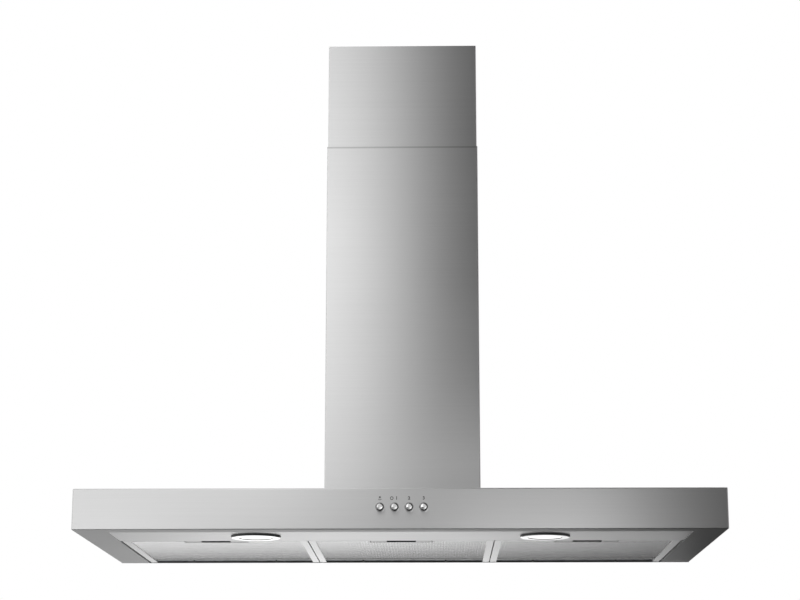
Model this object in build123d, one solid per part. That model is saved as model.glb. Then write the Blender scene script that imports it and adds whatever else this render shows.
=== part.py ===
"""A wall-mounted chimney range hood: a flat box canopy with lamps, grease filters and push buttons,
a telescopic chimney, and the blower, outlet collar and electrics inside them.

The frame: X runs to the right seen from the front, Y runs back into the wall, Z runs up. The origin
is on the wall plane, on the centre line, level with the underside of the canopy. Sizes are in mm.
"""

from build123d import *
import math
import os

# ---- Canopy: folded stainless sheet, open below between its flanges ----
CANOPY_WIDTH = 898.0
CANOPY_DEPTH = 450.0
CANOPY_HEIGHT = 57.0
CANOPY_SHEET = 1.0
BEND_RADIUS = 1.6
FRONT_FLANGE = 28.0
SIDE_FLANGE = 45.0
LIP_HEIGHT = 12.0
REAR_SHEET = 1.0
REAR_RETURN = 12.0
WALL_HOLE_RADIUS = 4.0
WALL_HOLE_SPACING = 560.0
WALL_HOLE_HEIGHT = 34.0

# ---- Clearances ----
SLIDE_GAP = 0.4
SEAT_GAP = 0.1
SHAFT_GAP = 0.04
SEAM_GAP = 0.6

# ---- Telescopic chimney: two U-shaped covers, the upper inside the lower ----
CHIMNEY_WIDTH = 234.0
CHIMNEY_DEPTH = 200.0
CHIMNEY_SHEET = 0.8
CHIMNEY_BEND = 1.4
CHIMNEY_RETURN = 14.0
LOWER_CHIMNEY_LENGTH = 569.0
UPPER_CHIMNEY_LENGTH = 540.0
UPPER_CHIMNEY_SHOWN = 166.0

# ---- Wall bracket that steadies the top of the chimney ----
BRACKET_SHEET = 1.5
BRACKET_HEIGHT = 30.0
BRACKET_BELOW_TOP = 12.0
BRACKET_STEP = 8.0
BRACKET_ARM = 40.0
BRACKET_RETURN_GAP = 6.0
BRACKET_HOLE_RADIUS = 3.0
BRACKET_HOLE_SPACING = 150.0
COVER_SCREW_RADIUS = 1.5
COVER_SCREW_LENGTH = 5.0
COVER_SCREW_HEAD = 3.2
COVER_SCREW_HEAD_HEIGHT = 1.2

# ---- Light panel with its two lamps ----
PANEL_SHEET = 0.8
PANEL_RECESS = 0.6
PANEL_DEPTH = 114.3
PANEL_HOOK = 8.0
LAMP_SPACING = 406.0
LAMP_FROM_FRONT = 82.0
LAMP_HOLE_RADIUS = 31.5
LAMP_CAN_SHEET = 1.2
LAMP_CAN_HEIGHT = 38.0
LAMP_CAN_FLANGE = 5.0
BEZEL_RADIUS = 35.0
BEZEL_PROUD = 3.0
BEZEL_LIP = 4.0
BEZEL_LIP_HEIGHT = 1.2
BEZEL_ROUNDING = 1.65
BEZEL_SKIRT = 12.0
BEZEL_WALL = 1.8
LENS_THICKNESS = 2.6
LENS_EDGE = 0.8
BULB_RADIUS = 5.0
BULB_LENGTH = 18.0
BULB_TIP = 4.0
BULB_SOCKET_RADIUS = 8.0
BULB_SOCKET_HEIGHT = 9.0
BULB_SOCKET_LIP = 2.0

# ---- Grease filters: hooked over a rod at the back, latched at the front ----
FILTER_COUNT = 3
FILTER_GAP = 1.5
FILTER_SIDE_GAP = 3.3
FILTER_LIFT = 0.5
FILTER_HEIGHT = 8.0
FILTER_SHEET = 1.0
RAIL_WIDTH = 10.0
FRONT_RAIL = 8.0
REAR_RAIL = 3.0
MEDIA_THICKNESS = 3.2
MEDIA_RELIEF = 1.0
MESH_COLUMNS = 17
MESH_ROWS = 17
MESH_STRAND = 3.2
REAR_POCKET = 36.0
ROD_RADIUS = 2.0
ROD_FROM_WALL = 7.0
HOOK_GAP = 0.2
HOOK_REACH = 2.0

# ---- Rail at the back of the filter bay, with the lugs that carry the rod ----
SUPPORT_SHEET = 1.0
SUPPORT_GAP = 0.8
SUPPORT_HEIGHT = 15.0
LUG_WIDTH = 8.0
LUG_SPREAD = 130.0
LUG_BELOW_ROD = 1.5

# ---- Filter latch: a spring plate with a finger slot, under a moulded cup ----
LATCH_WIDTH = 87.0
LATCH_DEPTH = 22.0
LATCH_SHEET = 1.2
LATCH_TRAVEL = 6.0
LATCH_TAB_HEIGHT = 4.0
LATCH_TAB_LIP = 1.1
LATCH_REST_GAP = 0.3
LATCH_SPRING_RADIUS = 1.4
LATCH_SPRING_WIRE = 0.4
LATCH_SPRING_TURNS = 6
FINGER_WIDTH = 42.0
FINGER_DEPTH = 16.0
CUP_WALL = 1.2
CUP_BEHIND = 7.0

# ---- Push buttons and the switch block behind the front ----
BUTTON_NAMES = ["light", "speed_1", "speed_2", "speed_3"]
BUTTON_PITCH = 20.0
BUTTON_OFFSET = 3.5
BUTTON_HEIGHT = 30.0
BUTTON_RADIUS = 6.0
BUTTON_PROUD = 10.0
BUTTON_EDGE = 2.5
BUTTON_DISH = 0.15
BUTTON_TRAVEL = 4.0
BUTTON_COLLAR = 1.4
BUTTON_COLLAR_THICKNESS = 2.0
BUTTON_STEM_RADIUS = 2.5
BUTTON_GAP = 0.3
SWITCH_WELL = 18.0
SWITCH_BACK = 12.0
SWITCH_MARGIN = 12.0
SPRING_WIRE = 0.8
SPRING_RADIUS = 4.6
SPRING_TURNS = 6

# ---- Blower box and outlet collar ----
BOX_WIDTH = 204.0
BOX_SHEET = 0.8
BOX_HEIGHT = 243.0
BOX_FRONT_GAP = 12.0
BOX_WALL_GAP = 10.0
BOX_FLANGE = 11.0
AIR_MARGIN = 6.0
BOX_SCREW_RADIUS = 2.0
BOX_SCREW_HEAD = 3.5
BOX_SCREW_HEAD_HEIGHT = 2.2
BOX_SCREW_LENGTH = 8.0
BOX_SCREW_EDGE = 0.9
BOX_SCREW_FROM_END = 20.0
DUCT_RADIUS = 74.6
DUCT_FROM_WALL = 108.0
COLLAR_WALL = 2.0
COLLAR_HEIGHT = 40.0
COLLAR_FLANGE = 3.6
COLLAR_FLANGE_HEIGHT = 2.4
SEAT_WIDTH = 4.6
SEAT_HEIGHT = 4.0
FLAP_THICKNESS = 1.2
FLAP_PIN_RADIUS = 1.5
FLAP_KNUCKLE = 1.5
FLAP_KNUCKLE_LENGTH = 16.0
FLAP_KNUCKLE_SPACE = 4.0
FLAP_RIM_GAP = 1.4

# ---- Blower: scroll, impeller and motor on one axis along X ----
FAN_FROM_WALL = 98.0
FAN_HEIGHT = 89.0
SCROLL_RADIUS = 82.0
SCROLL_HALF_WIDTH = 55.0
SCROLL_WALL = 2.0
SCROLL_OUTLET = 90.0
SCROLL_FLANGE = 4.0
INLET_RADIUS = 50.0
INLET_LIP = 3.0
INLET_LIP_LENGTH = 2.0
IMPELLER_RADIUS = 62.0
IMPELLER_INNER = 51.0
IMPELLER_HALF_WIDTH = 42.0
IMPELLER_DISC = 2.0
IMPELLER_RING = 4.0
IMPELLER_HUB_RADIUS = 10.0
IMPELLER_HUB_HALF = 9.0
BLADE_COUNT = 32
BLADE_THICKNESS = 1.2
BLADE_SWEEP = 62.0
BLADE_SET_IN = 0.3
SHAFT_RADIUS = 4.0
SHAFT_END = 12.0
MOTOR_RADIUS = 37.0
MOTOR_START = 11.0
MOTOR_LENGTH = 82.0
MOTOR_CAP = 10.0
MOTOR_WALL = 2.0
MOTOR_FLANGE = 5.0
BEARING_RADIUS = 9.0
BEARING_WIDTH = 7.0
STATOR_LENGTH = 40.0
STATOR_RING = 13.0
WINDING_LENGTH = 6.0
WINDING_STEP = 2.0
AIR_GAP = 0.5
SPIDER_SHEET = 2.0
SPIDER_RING = 8.0
SPIDER_ARMS = 3
SPIDER_ARM_WIDTH = 12.0
SPIDER_HUB_MARGIN = 2.0
GUARD_WIRE = 1.0
GUARD_RINGS = [14.0, 26.0, 38.0]
GUARD_WIRE_END = 2.0
CAPACITOR_RADIUS = 15.0
CAPACITOR_LENGTH = 50.0
CAPACITOR_EDGE = 2.0

# ---- Electrics ----
TERMINAL_WIDTH = 38.0
TERMINAL_DEPTH = 30.0
TERMINAL_HEIGHT = 38.0
TERMINAL_WALL = 1.6
TERMINAL_EDGE = 2.0
TERMINAL_INSET = 2.0
GLAND_RADIUS = 7.0
GLAND_BORE = 4.0
GLAND_HEIGHT = 10.0
SUPPLY_WIDTH = 110.0
SUPPLY_DEPTH = 54.0
SUPPLY_HEIGHT = 32.0
SUPPLY_EDGE = 3.0
SUPPLY_EAR = 9.0
SUPPLY_EAR_HEIGHT = 2.0
SUPPLY_FROM_CENTRE = 240.0
SUPPLY_FROM_WALL = 180.0

# ---- Wiring, run along the inside of the canopy's top ----
LOOM_RADIUS = 2.5
WIRE_BEND_SHARE = 0.45
LAMP_WIRE_RADIUS = 1.5
LOOM_HEIGHT = 37.5
LOOM_SPACING = 20.0
LOOM_RUN_OUT = 24.0
LOOM_RISE = 23.0
LOOM_TURN = -210.0
LOOM_ENTRY = -160.0
LAMP_WIRE_HEIGHT = 50.0
REAR_WIRE_FROM_WALL = 19.0
LAMP_WIRE_SIDE_STEP = 25.0
LAMP_WIRE_STEP_BACK = 48.0

# ---- Places that several pieces share ----
HALF_WIDTH = CANOPY_WIDTH / 2
BAY_HALF = HALF_WIDTH - SIDE_FLANGE
BAY_FRONT = -CANOPY_DEPTH + FRONT_FLANGE
INNER_TOP = CANOPY_HEIGHT - CANOPY_SHEET
PANEL_FRONT = BAY_FRONT + SLIDE_GAP
PANEL_REAR = PANEL_FRONT + PANEL_DEPTH
PANEL_TOP = PANEL_RECESS + PANEL_SHEET
LAMP_Y = -CANOPY_DEPTH + LAMP_FROM_FRONT
FILTER_PITCH = (2 * (BAY_HALF - FILTER_SIDE_GAP) + FILTER_GAP) / FILTER_COUNT
FILTER_WIDTH = FILTER_PITCH - FILTER_GAP
FILTER_FRONT = PANEL_REAR + SEAM_GAP
FILTER_TOP = FILTER_LIFT + FILTER_HEIGHT
CASSETTE_REAR = -ROD_FROM_WALL - REAR_POCKET
ROD_Z = FILTER_LIFT + FILTER_HEIGHT / 2
MEDIA_BOTTOM = FILTER_LIFT + FILTER_SHEET + SEAT_GAP
SUPPORT_BOTTOM = FILTER_TOP + SUPPORT_GAP
LATCH_BOTTOM = PANEL_TOP + HOOK_GAP
LATCH_TOP = LATCH_BOTTOM + LATCH_SHEET
CUP_BOTTOM = LATCH_TOP + HOOK_GAP
CUP_TOP = FILTER_TOP
CUP_FRONT = FILTER_FRONT + FILTER_SHEET + SEAT_GAP
CUP_REAR = CUP_FRONT + LATCH_DEPTH + CUP_BEHIND
FINGER_FRONT = CUP_FRONT + CUP_WALL
FINGER_REAR = FINGER_FRONT + FINGER_DEPTH
FRONT_Y = -CANOPY_DEPTH
FRONT_INNER = FRONT_Y + CANOPY_SHEET
LOWER_TOP = CANOPY_HEIGHT + LOWER_CHIMNEY_LENGTH
UPPER_TOP = LOWER_TOP + UPPER_CHIMNEY_SHOWN
UPPER_INSET = CHIMNEY_SHEET + SLIDE_GAP
UPPER_HALF = CHIMNEY_WIDTH / 2 - UPPER_INSET
BRACKET_MIDDLE = UPPER_TOP - BRACKET_BELOW_TOP - BRACKET_HEIGHT / 2
BRACKET_STEP_Y = -UPPER_INSET - CHIMNEY_SHEET - BRACKET_STEP
COVER_SCREW_Y = BRACKET_STEP_Y - BRACKET_ARM / 2
BOX_HALF = BOX_WIDTH / 2
BOX_FRONT = -CHIMNEY_DEPTH + BOX_FRONT_GAP
BOX_REAR = -BOX_WALL_GAP
BOX_TOP = CANOPY_HEIGHT + BOX_HEIGHT
DUCT_INNER = DUCT_RADIUS - COLLAR_WALL
SEAT_INNER = DUCT_INNER - SEAT_WIDTH
FLAP_Z = BOX_TOP + SEAT_HEIGHT + SEAT_GAP + FLAP_PIN_RADIUS + FLAP_KNUCKLE + FLAP_THICKNESS / 2
FAN_Y = -FAN_FROM_WALL
FAN_Z = CANOPY_HEIGHT + FAN_HEIGHT
SPIDER_X = SCROLL_HALF_WIDTH + INLET_LIP_LENGTH + SEAT_GAP
MOTOR_END = MOTOR_START + MOTOR_LENGTH


def span(x, y, z):
    """A box between two values on each axis."""
    corner = Align.MIN, Align.MIN, Align.MIN
    return Pos(x[0], y[0], z[0]) * Box(x[1] - x[0], y[1] - y[0], z[1] - z[0], align=corner)


def both(half, middle=0.0):
    """A span of half on each side of middle."""
    return middle - half, middle + half


def rod_x(radius, x, y, z):
    """A cylinder along X between two values of x."""
    up = Align.CENTER, Align.CENTER, Align.MIN
    return Pos(x[0], y, z) * Rot(0, 90, 0) * Cylinder(radius, x[1] - x[0], align=up)


def rod_y(radius, x, y, z):
    """A cylinder along Y between two values of y."""
    up = Align.CENTER, Align.CENTER, Align.MIN
    return Pos(x, y[0], z) * Rot(-90, 0, 0) * Cylinder(radius, y[1] - y[0], align=up)


def rod_z(radius, x, y, z):
    """A cylinder along Z between two values of z."""
    up = Align.CENTER, Align.CENTER, Align.MIN
    return Pos(x, y, z[0]) * Cylinder(radius, z[1] - z[0], align=up)


def ring_x(outer, inner, x, y, z):
    """A ring about an axis along X."""
    return rod_x(outer, x, y, z) - rod_x(inner, (x[0] - 1, x[1] + 1), y, z)


def ring_z(outer, inner, x, y, z):
    """A ring about an axis along Z."""
    return rod_z(outer, x, y, z) - rod_z(inner, x, y, (z[0] - 1, z[1] + 1))


def filter_centre(index):
    """The middle of a filter across the bay, counted from the left."""
    return (index - (FILTER_COUNT - 1) / 2) * FILTER_PITCH


def button_x(index):
    """The middle of a button along the front, counted from the left."""
    return BUTTON_OFFSET + (index - (len(BUTTON_NAMES) - 1) / 2) * BUTTON_PITCH


# ---- Canopy ----


def canopy_shell():
    """Top, front, sides and bottom flanges of the canopy, with upturned lips round the opening."""
    body = span(both(HALF_WIDTH), (FRONT_Y, -REAR_SHEET), (0, CANOPY_HEIGHT))
    rear = body.faces().sort_by(Axis.Y)[-1].edges()
    body = fillet(body.edges() - rear, BEND_RADIUS)
    hollow_x = both(HALF_WIDTH - CANOPY_SHEET)
    body -= span(hollow_x, (FRONT_INNER, 1), (CANOPY_SHEET, INNER_TOP))
    lips = span(
        both(BAY_HALF + CANOPY_SHEET), (BAY_FRONT - CANOPY_SHEET, -REAR_SHEET), (0, LIP_HEIGHT)
    )
    body += lips
    body -= span(both(BAY_HALF), (BAY_FRONT, 1), (-1, LIP_HEIGHT + 1))
    air_y = BOX_FRONT + AIR_MARGIN, BOX_REAR - AIR_MARGIN
    body -= span(both(BOX_HALF - AIR_MARGIN), air_y, (INNER_TOP - 1, CANOPY_HEIGHT + 1))
    for index in range(len(BUTTON_NAMES)):
        hole = BUTTON_RADIUS + BUTTON_GAP
        body -= rod_y(hole, button_x(index), (FRONT_Y - 1, FRONT_INNER + 1), BUTTON_HEIGHT)
    for x, y in box_screw_places():
        body -= rod_z(BOX_SCREW_RADIUS + SEAT_GAP, x, y, (INNER_TOP - 1, CANOPY_HEIGHT + 1))
    return body


def canopy_rear_panel():
    """The back of the canopy, which lies on the wall, with returns inside the shell."""
    panel = span(both(HALF_WIDTH), (-REAR_SHEET, 0), (0, CANOPY_HEIGHT))
    returns_y = -REAR_SHEET - REAR_RETURN, -REAR_SHEET
    inside = HALF_WIDTH - CANOPY_SHEET
    panel += span(both(inside), returns_y, (INNER_TOP - REAR_SHEET, INNER_TOP))
    for side in (-1, 1):
        edge = sorted((side * inside, side * (inside - REAR_SHEET)))
        panel += span(edge, returns_y, (CANOPY_SHEET, INNER_TOP))
        hole_x = side * WALL_HOLE_SPACING / 2
        panel -= rod_y(WALL_HOLE_RADIUS, hole_x, (-REAR_SHEET - 1, 1), WALL_HOLE_HEIGHT)
    return panel


# ---- Chimney ----


def chimney_cover(half, front, rear, bottom, top):
    """A U-shaped cover, open at the back, with a return along each rear edge."""
    outer = span(both(half), (front, rear), (bottom, top))
    uprights = outer.edges().filter_by(Axis.Z).group_by(Axis.Y)[0]
    outer = fillet(uprights, CHIMNEY_BEND)
    wall = CHIMNEY_SHEET
    cover = outer - span(both(half - wall), (front + wall, rear - wall), (bottom - 1, top + 1))
    slot = half - CHIMNEY_RETURN
    return cover - span(both(slot), (rear - wall - 1, rear + 1), (bottom - 1, top + 1))


def lower_chimney():
    """The fixed cover, standing on the canopy."""
    return chimney_cover(CHIMNEY_WIDTH / 2, -CHIMNEY_DEPTH, 0, CANOPY_HEIGHT, LOWER_TOP)


def upper_chimney():
    """The cover that slides up and down inside the lower one."""
    bottom = UPPER_TOP - UPPER_CHIMNEY_LENGTH
    front = -CHIMNEY_DEPTH + UPPER_INSET
    cover = chimney_cover(UPPER_HALF, front, -UPPER_INSET, bottom, UPPER_TOP)
    return cover - cover_screw_holes()


def cover_screw_holes():
    """A rod right across, which drills the upper cover and the bracket for their two screws."""
    return rod_x(COVER_SCREW_RADIUS + SEAT_GAP, both(UPPER_HALF + 1), COVER_SCREW_Y, BRACKET_MIDDLE)


def chimney_cover_screws():
    """The two screws that hold the top of the upper cover to the arms of the bracket."""
    seat = UPPER_HALF + SEAT_GAP
    screws = []
    for side in (-1, 1):
        head_x = sorted((side * seat, side * (seat + COVER_SCREW_HEAD_HEIGHT)))
        shank_x = sorted((side * seat, side * (seat - COVER_SCREW_LENGTH)))
        head = rod_x(COVER_SCREW_HEAD, head_x, COVER_SCREW_Y, BRACKET_MIDDLE)
        screws.append(head + rod_x(COVER_SCREW_RADIUS, shank_x, COVER_SCREW_Y, BRACKET_MIDDLE))
    return Compound(children=screws)


def chimney_wall_bracket():
    """A strap on the wall whose two arms lie against the inside of the upper cover."""
    top = UPPER_TOP - BRACKET_BELOW_TOP
    z = top - BRACKET_HEIGHT, top
    base_half = UPPER_HALF - CHIMNEY_RETURN - BRACKET_RETURN_GAP
    arm_outer = UPPER_HALF - CHIMNEY_SHEET - SEAT_GAP
    bracket = span(both(base_half), (-BRACKET_SHEET, 0), z)
    hole_y = -BRACKET_SHEET - 1, 1
    for side in (-1, 1):
        web = sorted((side * base_half, side * (base_half - BRACKET_SHEET)))
        bracket += span(web, (BRACKET_STEP_Y, 0), z)
        shelf = sorted((side * (base_half - BRACKET_SHEET), side * arm_outer))
        bracket += span(shelf, (BRACKET_STEP_Y - BRACKET_SHEET, BRACKET_STEP_Y), z)
        arm = sorted((side * arm_outer, side * (arm_outer - BRACKET_SHEET)))
        bracket += span(arm, (BRACKET_STEP_Y - BRACKET_ARM, BRACKET_STEP_Y), z)
        hole_x = side * BRACKET_HOLE_SPACING / 2
        bracket -= rod_y(BRACKET_HOLE_RADIUS, hole_x, hole_y, BRACKET_MIDDLE)
    return bracket - cover_screw_holes()


# ---- Light panel and lamps ----


def light_panel():
    """The strip behind the front flange, hooked over the lips of the canopy opening."""
    edge = BAY_HALF - SLIDE_GAP
    hook_z = LIP_HEIGHT + SEAT_GAP, LIP_HEIGHT + SEAT_GAP + PANEL_SHEET
    wall_top = hook_z[1]
    panel = span(both(edge), (PANEL_FRONT, PANEL_REAR), (PANEL_RECESS, PANEL_TOP))
    front_wall = PANEL_FRONT, PANEL_FRONT + PANEL_SHEET
    panel += span(both(edge), front_wall, (PANEL_RECESS, wall_top))
    panel += span(both(edge), (BAY_FRONT - PANEL_HOOK, front_wall[1]), hook_z)
    for side in (-1, 1):
        wall = sorted((side * edge, side * (edge - PANEL_SHEET)))
        panel += span(wall, (PANEL_FRONT, PANEL_REAR), (PANEL_RECESS, wall_top))
        hook = sorted((side * (edge - PANEL_SHEET), side * (BAY_HALF + PANEL_HOOK)))
        panel += span(hook, (PANEL_FRONT, PANEL_REAR), hook_z)
        lamp_x = side * LAMP_SPACING / 2
        panel -= rod_z(LAMP_HOLE_RADIUS, lamp_x, LAMP_Y, (PANEL_RECESS - 1, PANEL_TOP + 1))
    return panel


def lamp_can(x):
    """The lamp's metal can, standing on the light panel."""
    outer = LAMP_HOLE_RADIUS - SLIDE_GAP
    inner = outer - LAMP_CAN_SHEET
    bottom = PANEL_RECESS
    flange_z = PANEL_TOP + SEAT_GAP, PANEL_TOP + SEAT_GAP + LAMP_CAN_SHEET
    can = rod_z(outer, x, LAMP_Y, (bottom, bottom + LAMP_CAN_HEIGHT))
    can += rod_z(LAMP_HOLE_RADIUS + LAMP_CAN_FLANGE, x, LAMP_Y, flange_z)
    roof = bottom + LAMP_CAN_HEIGHT - LAMP_CAN_SHEET
    can -= rod_z(inner, x, LAMP_Y, (bottom - 1, roof))
    return can - rod_z(BULB_SOCKET_RADIUS, x, LAMP_Y, (roof - 1, roof + LAMP_CAN_SHEET + 1))


def lamp_bezel(x):
    """The ring below the panel, whose skirt plugs into the can."""
    skirt_outer = LAMP_HOLE_RADIUS - SLIDE_GAP - LAMP_CAN_SHEET - SEAT_GAP
    skirt_inner = skirt_outer - BEZEL_WALL
    top = PANEL_RECESS - SEAT_GAP
    bottom = top - BEZEL_PROUD
    flange = rod_z(BEZEL_RADIUS, x, LAMP_Y, (bottom, top))
    rim = flange.edges().filter_by(GeomType.CIRCLE).sort_by(Axis.Z)[0]
    flange = fillet(rim, BEZEL_ROUNDING)
    flange += rod_z(skirt_outer, x, LAMP_Y, (top - 1, top + BEZEL_SKIRT))
    flange -= rod_z(skirt_inner, x, LAMP_Y, (bottom + BEZEL_LIP_HEIGHT, top + BEZEL_SKIRT + 1))
    return flange - rod_z(skirt_inner - BEZEL_LIP, x, LAMP_Y, (bottom - 1, bottom + 2))


def lamp_lens(x):
    """The frosted glass on the bezel's inner lip."""
    skirt_inner = LAMP_HOLE_RADIUS - SLIDE_GAP - LAMP_CAN_SHEET - SEAT_GAP - BEZEL_WALL
    seat = PANEL_RECESS - BEZEL_PROUD + BEZEL_LIP_HEIGHT
    disc = rod_z(skirt_inner - SEAT_GAP, x, LAMP_Y, (seat, seat + LENS_THICKNESS))
    return fillet(disc.edges().filter_by(GeomType.CIRCLE).sort_by(Axis.Z)[-1], LENS_EDGE)


def lamp_bulb(x):
    """The capsule bulb and its socket, hung in the hole of the can's roof."""
    roof = PANEL_RECESS + LAMP_CAN_HEIGHT
    socket_z = roof - BULB_SOCKET_HEIGHT, roof + LAMP_CAN_SHEET
    socket = rod_z(BULB_SOCKET_RADIUS - SEAT_GAP, x, LAMP_Y, socket_z)
    socket += rod_z(BULB_SOCKET_RADIUS + BULB_SOCKET_LIP, x, LAMP_Y, (roof + SEAT_GAP, socket_z[1]))
    capsule = rod_z(BULB_RADIUS, x, LAMP_Y, (socket_z[0] - BULB_LENGTH, socket_z[0]))
    tip = capsule.edges().filter_by(GeomType.CIRCLE).sort_by(Axis.Z)[0]
    return socket + fillet(tip, BULB_TIP)


# ---- Filter bay ----


def lug_places():
    """The x of each lug under the support rail, two to a filter."""
    middles = [filter_centre(index) for index in range(FILTER_COUNT)]
    return [middle + side * LUG_SPREAD / 2 for middle in middles for side in (-1, 1)]


def filter_support_rail():
    """The folded rail across the back of the bay, with a skirt behind it and lugs for the rod."""
    edge = BAY_HALF - SLIDE_GAP
    front = CASSETTE_REAR + SUPPORT_GAP
    rear = -REAR_SHEET
    top = SUPPORT_BOTTOM + SUPPORT_HEIGHT
    rail = span(both(edge), (front, rear), (SUPPORT_BOTTOM, SUPPORT_BOTTOM + SUPPORT_SHEET))
    rail += span(both(edge), (front, front + SUPPORT_SHEET), (SUPPORT_BOTTOM, top))
    rail += span(both(edge), (rear - SUPPORT_SHEET, rear), (FILTER_LIFT, top))
    lug_y = -ROD_FROM_WALL - LUG_WIDTH / 2, rear - SUPPORT_SHEET
    for x in lug_places():
        lug_x = both(SUPPORT_SHEET, x)
        rail += span(lug_x, lug_y, (ROD_Z - ROD_RADIUS - LUG_BELOW_ROD, SUPPORT_BOTTOM + SUPPORT_SHEET))
    return rail - rod_x(ROD_RADIUS + SHAFT_GAP, both(edge + 1), -ROD_FROM_WALL, ROD_Z)


def filter_hanger_rod():
    """The rod through the lugs, on which the filters hook and swing."""
    return rod_x(ROD_RADIUS, both(BAY_HALF - SLIDE_GAP), -ROD_FROM_WALL, ROD_Z)


def filter_frame(index):
    """The channel frame of a filter, with two side rails that run on to the hooks."""
    x = filter_centre(index)
    half = FILTER_WIDTH / 2
    z = FILTER_LIFT, FILTER_TOP
    sheet = FILTER_SHEET
    frame = span(both(half, x), (FILTER_FRONT, CASSETTE_REAR), z)
    groove_y = FILTER_FRONT + sheet, CASSETTE_REAR - sheet
    frame -= span(both(half - sheet, x), groove_y, (z[0] + sheet, z[1] - sheet))
    window_y = FILTER_FRONT + FRONT_RAIL, CASSETTE_REAR - REAR_RAIL
    frame -= span(both(half - RAIL_WIDTH, x), window_y, (z[0] - 1, z[1] + 1))
    latch_half = LATCH_WIDTH / 2 + SLIDE_GAP
    latch_y = FILTER_FRONT - 1, window_y[0] + 1
    frame -= span(both(latch_half, x), latch_y, (z[0] - 1, LATCH_TOP + HOOK_GAP))
    cup_y = CUP_FRONT - SEAT_GAP, window_y[0] + 1
    frame -= span(both(latch_half + CUP_WALL, x), cup_y, (z[0] - 1, z[1] + 1))
    hook_end = -ROD_FROM_WALL + HOOK_REACH
    for side in (-1, 1):
        rail = sorted((x + side * half, x + side * (half - RAIL_WIDTH)))
        frame += span(rail, (CASSETTE_REAR - sheet, hook_end), z)
        slot = ROD_RADIUS + HOOK_GAP
        wide = rail[0] - 1, rail[1] + 1
        frame -= rod_x(slot, wide, -ROD_FROM_WALL, ROD_Z)
        frame -= span(wide, (-ROD_FROM_WALL, hook_end + 1), both(slot, ROD_Z))
    return frame


def diamond(width, height):
    """A rhombus, as an expanded sheet has for each gap."""
    half, tall = width / 2, height / 2
    return make_face(Polyline((-half, 0), (0, -tall), (half, 0), (0, tall), close=True))


def filter_media(index):
    """The aluminium pad, whose lower face is an expanded net over the layers behind it."""
    x = filter_centre(index)
    half = FILTER_WIDTH / 2 - FILTER_SHEET - SEAT_GAP
    y = FILTER_FRONT + FILTER_SHEET + SEAT_GAP, CASSETTE_REAR - FILTER_SHEET - SEAT_GAP
    pad = span(both(half, x), y, (MEDIA_BOTTOM, MEDIA_BOTTOM + MEDIA_THICKNESS))
    cup_half = LATCH_WIDTH / 2 + SLIDE_GAP + CUP_WALL + SEAT_GAP
    pad -= span(both(cup_half, x), (y[0] - 1, CUP_REAR + SEAT_GAP), (0, FILTER_TOP))
    net_x = FILTER_WIDTH / 2 - RAIL_WIDTH
    net_y = CUP_REAR + SEAT_GAP + MESH_STRAND, CASSETTE_REAR - REAR_RAIL
    pitch_x = 2 * net_x / (MESH_COLUMNS + 0.5)
    pitch_y = (net_y[1] - net_y[0]) / (MESH_ROWS + 1) * 2
    gap = diamond(pitch_x - MESH_STRAND, pitch_y - MESH_STRAND)
    places = []
    for row in range(MESH_ROWS):
        shift = 0.5 + 0.5 * (row % 2)
        y_row = net_y[0] + (row + 1) * pitch_y / 2
        places += [(x - net_x + (column + shift) * pitch_x, y_row) for column in range(MESH_COLUMNS)]
    gaps = [Pos(px, py, MEDIA_BOTTOM) * gap for px, py in places]
    return pad - [extrude(face, MEDIA_RELIEF) for face in gaps]


def latch_cup(index):
    """The moulded cup over the finger slot, which guides the latch plate and backs its spring."""
    x = filter_centre(index)
    half = LATCH_WIDTH / 2 + SLIDE_GAP + CUP_WALL
    y = CUP_FRONT, CUP_REAR
    cup = span(both(half, x), y, (CUP_BOTTOM, CUP_TOP))
    for side in (-1, 1):
        cheek = sorted((x + side * half, x + side * (half - CUP_WALL)))
        cup += span(cheek, y, (FILTER_LIFT + FILTER_SHEET, CUP_BOTTOM))
    pocket_y = FINGER_FRONT, CUP_REAR - CUP_WALL
    return cup - span(both(FINGER_WIDTH / 2 + SLIDE_GAP, x), pocket_y, (0, CUP_TOP - CUP_WALL))


def latch_plate(index):
    """The sliding plate with its finger slot and the upright tab that the finger pushes back."""
    x = filter_centre(index)
    z = LATCH_BOTTOM, LATCH_TOP
    front = PANEL_REAR + LATCH_REST_GAP
    rear = CUP_FRONT + LATCH_DEPTH
    plate = span(both(LATCH_WIDTH / 2, x), (front, rear), z)
    plate -= span(both(FINGER_WIDTH / 2, x), (FINGER_FRONT, FINGER_REAR), (z[0] - 1, z[1] + 1))
    tab_y = FINGER_REAR, FINGER_REAR + LATCH_SHEET
    tab_z = z[0] - LATCH_TAB_LIP, z[1] + LATCH_TAB_HEIGHT - SLIDE_GAP
    plate += span(both(FINGER_WIDTH / 2, x), tab_y, tab_z)
    return plate


def coil(radius, wire, length, turns):
    """A compression spring along Z from the origin, its ends cut by flat faces."""
    path = Helix(pitch=(length - wire) / turns, height=length - wire, radius=radius)
    start = Plane(origin=path @ 0, z_dir=path % 0)
    return Pos(0, 0, wire / 2) * sweep(start * Circle(wire / 2), path=path)


def latch_spring(index):
    """The small spring between the latch's tab and the back of the cup."""
    start = FINGER_REAR + LATCH_SHEET + SEAT_GAP
    length = CUP_REAR - CUP_WALL - SEAT_GAP - start
    spring = coil(LATCH_SPRING_RADIUS, LATCH_SPRING_WIRE, length, LATCH_SPRING_TURNS)
    middle = (LATCH_TOP + CUP_TOP - CUP_WALL) / 2
    return Pos(filter_centre(index), start, middle) * Rot(-90, 0, 0) * spring


# ---- Push buttons ----


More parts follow.
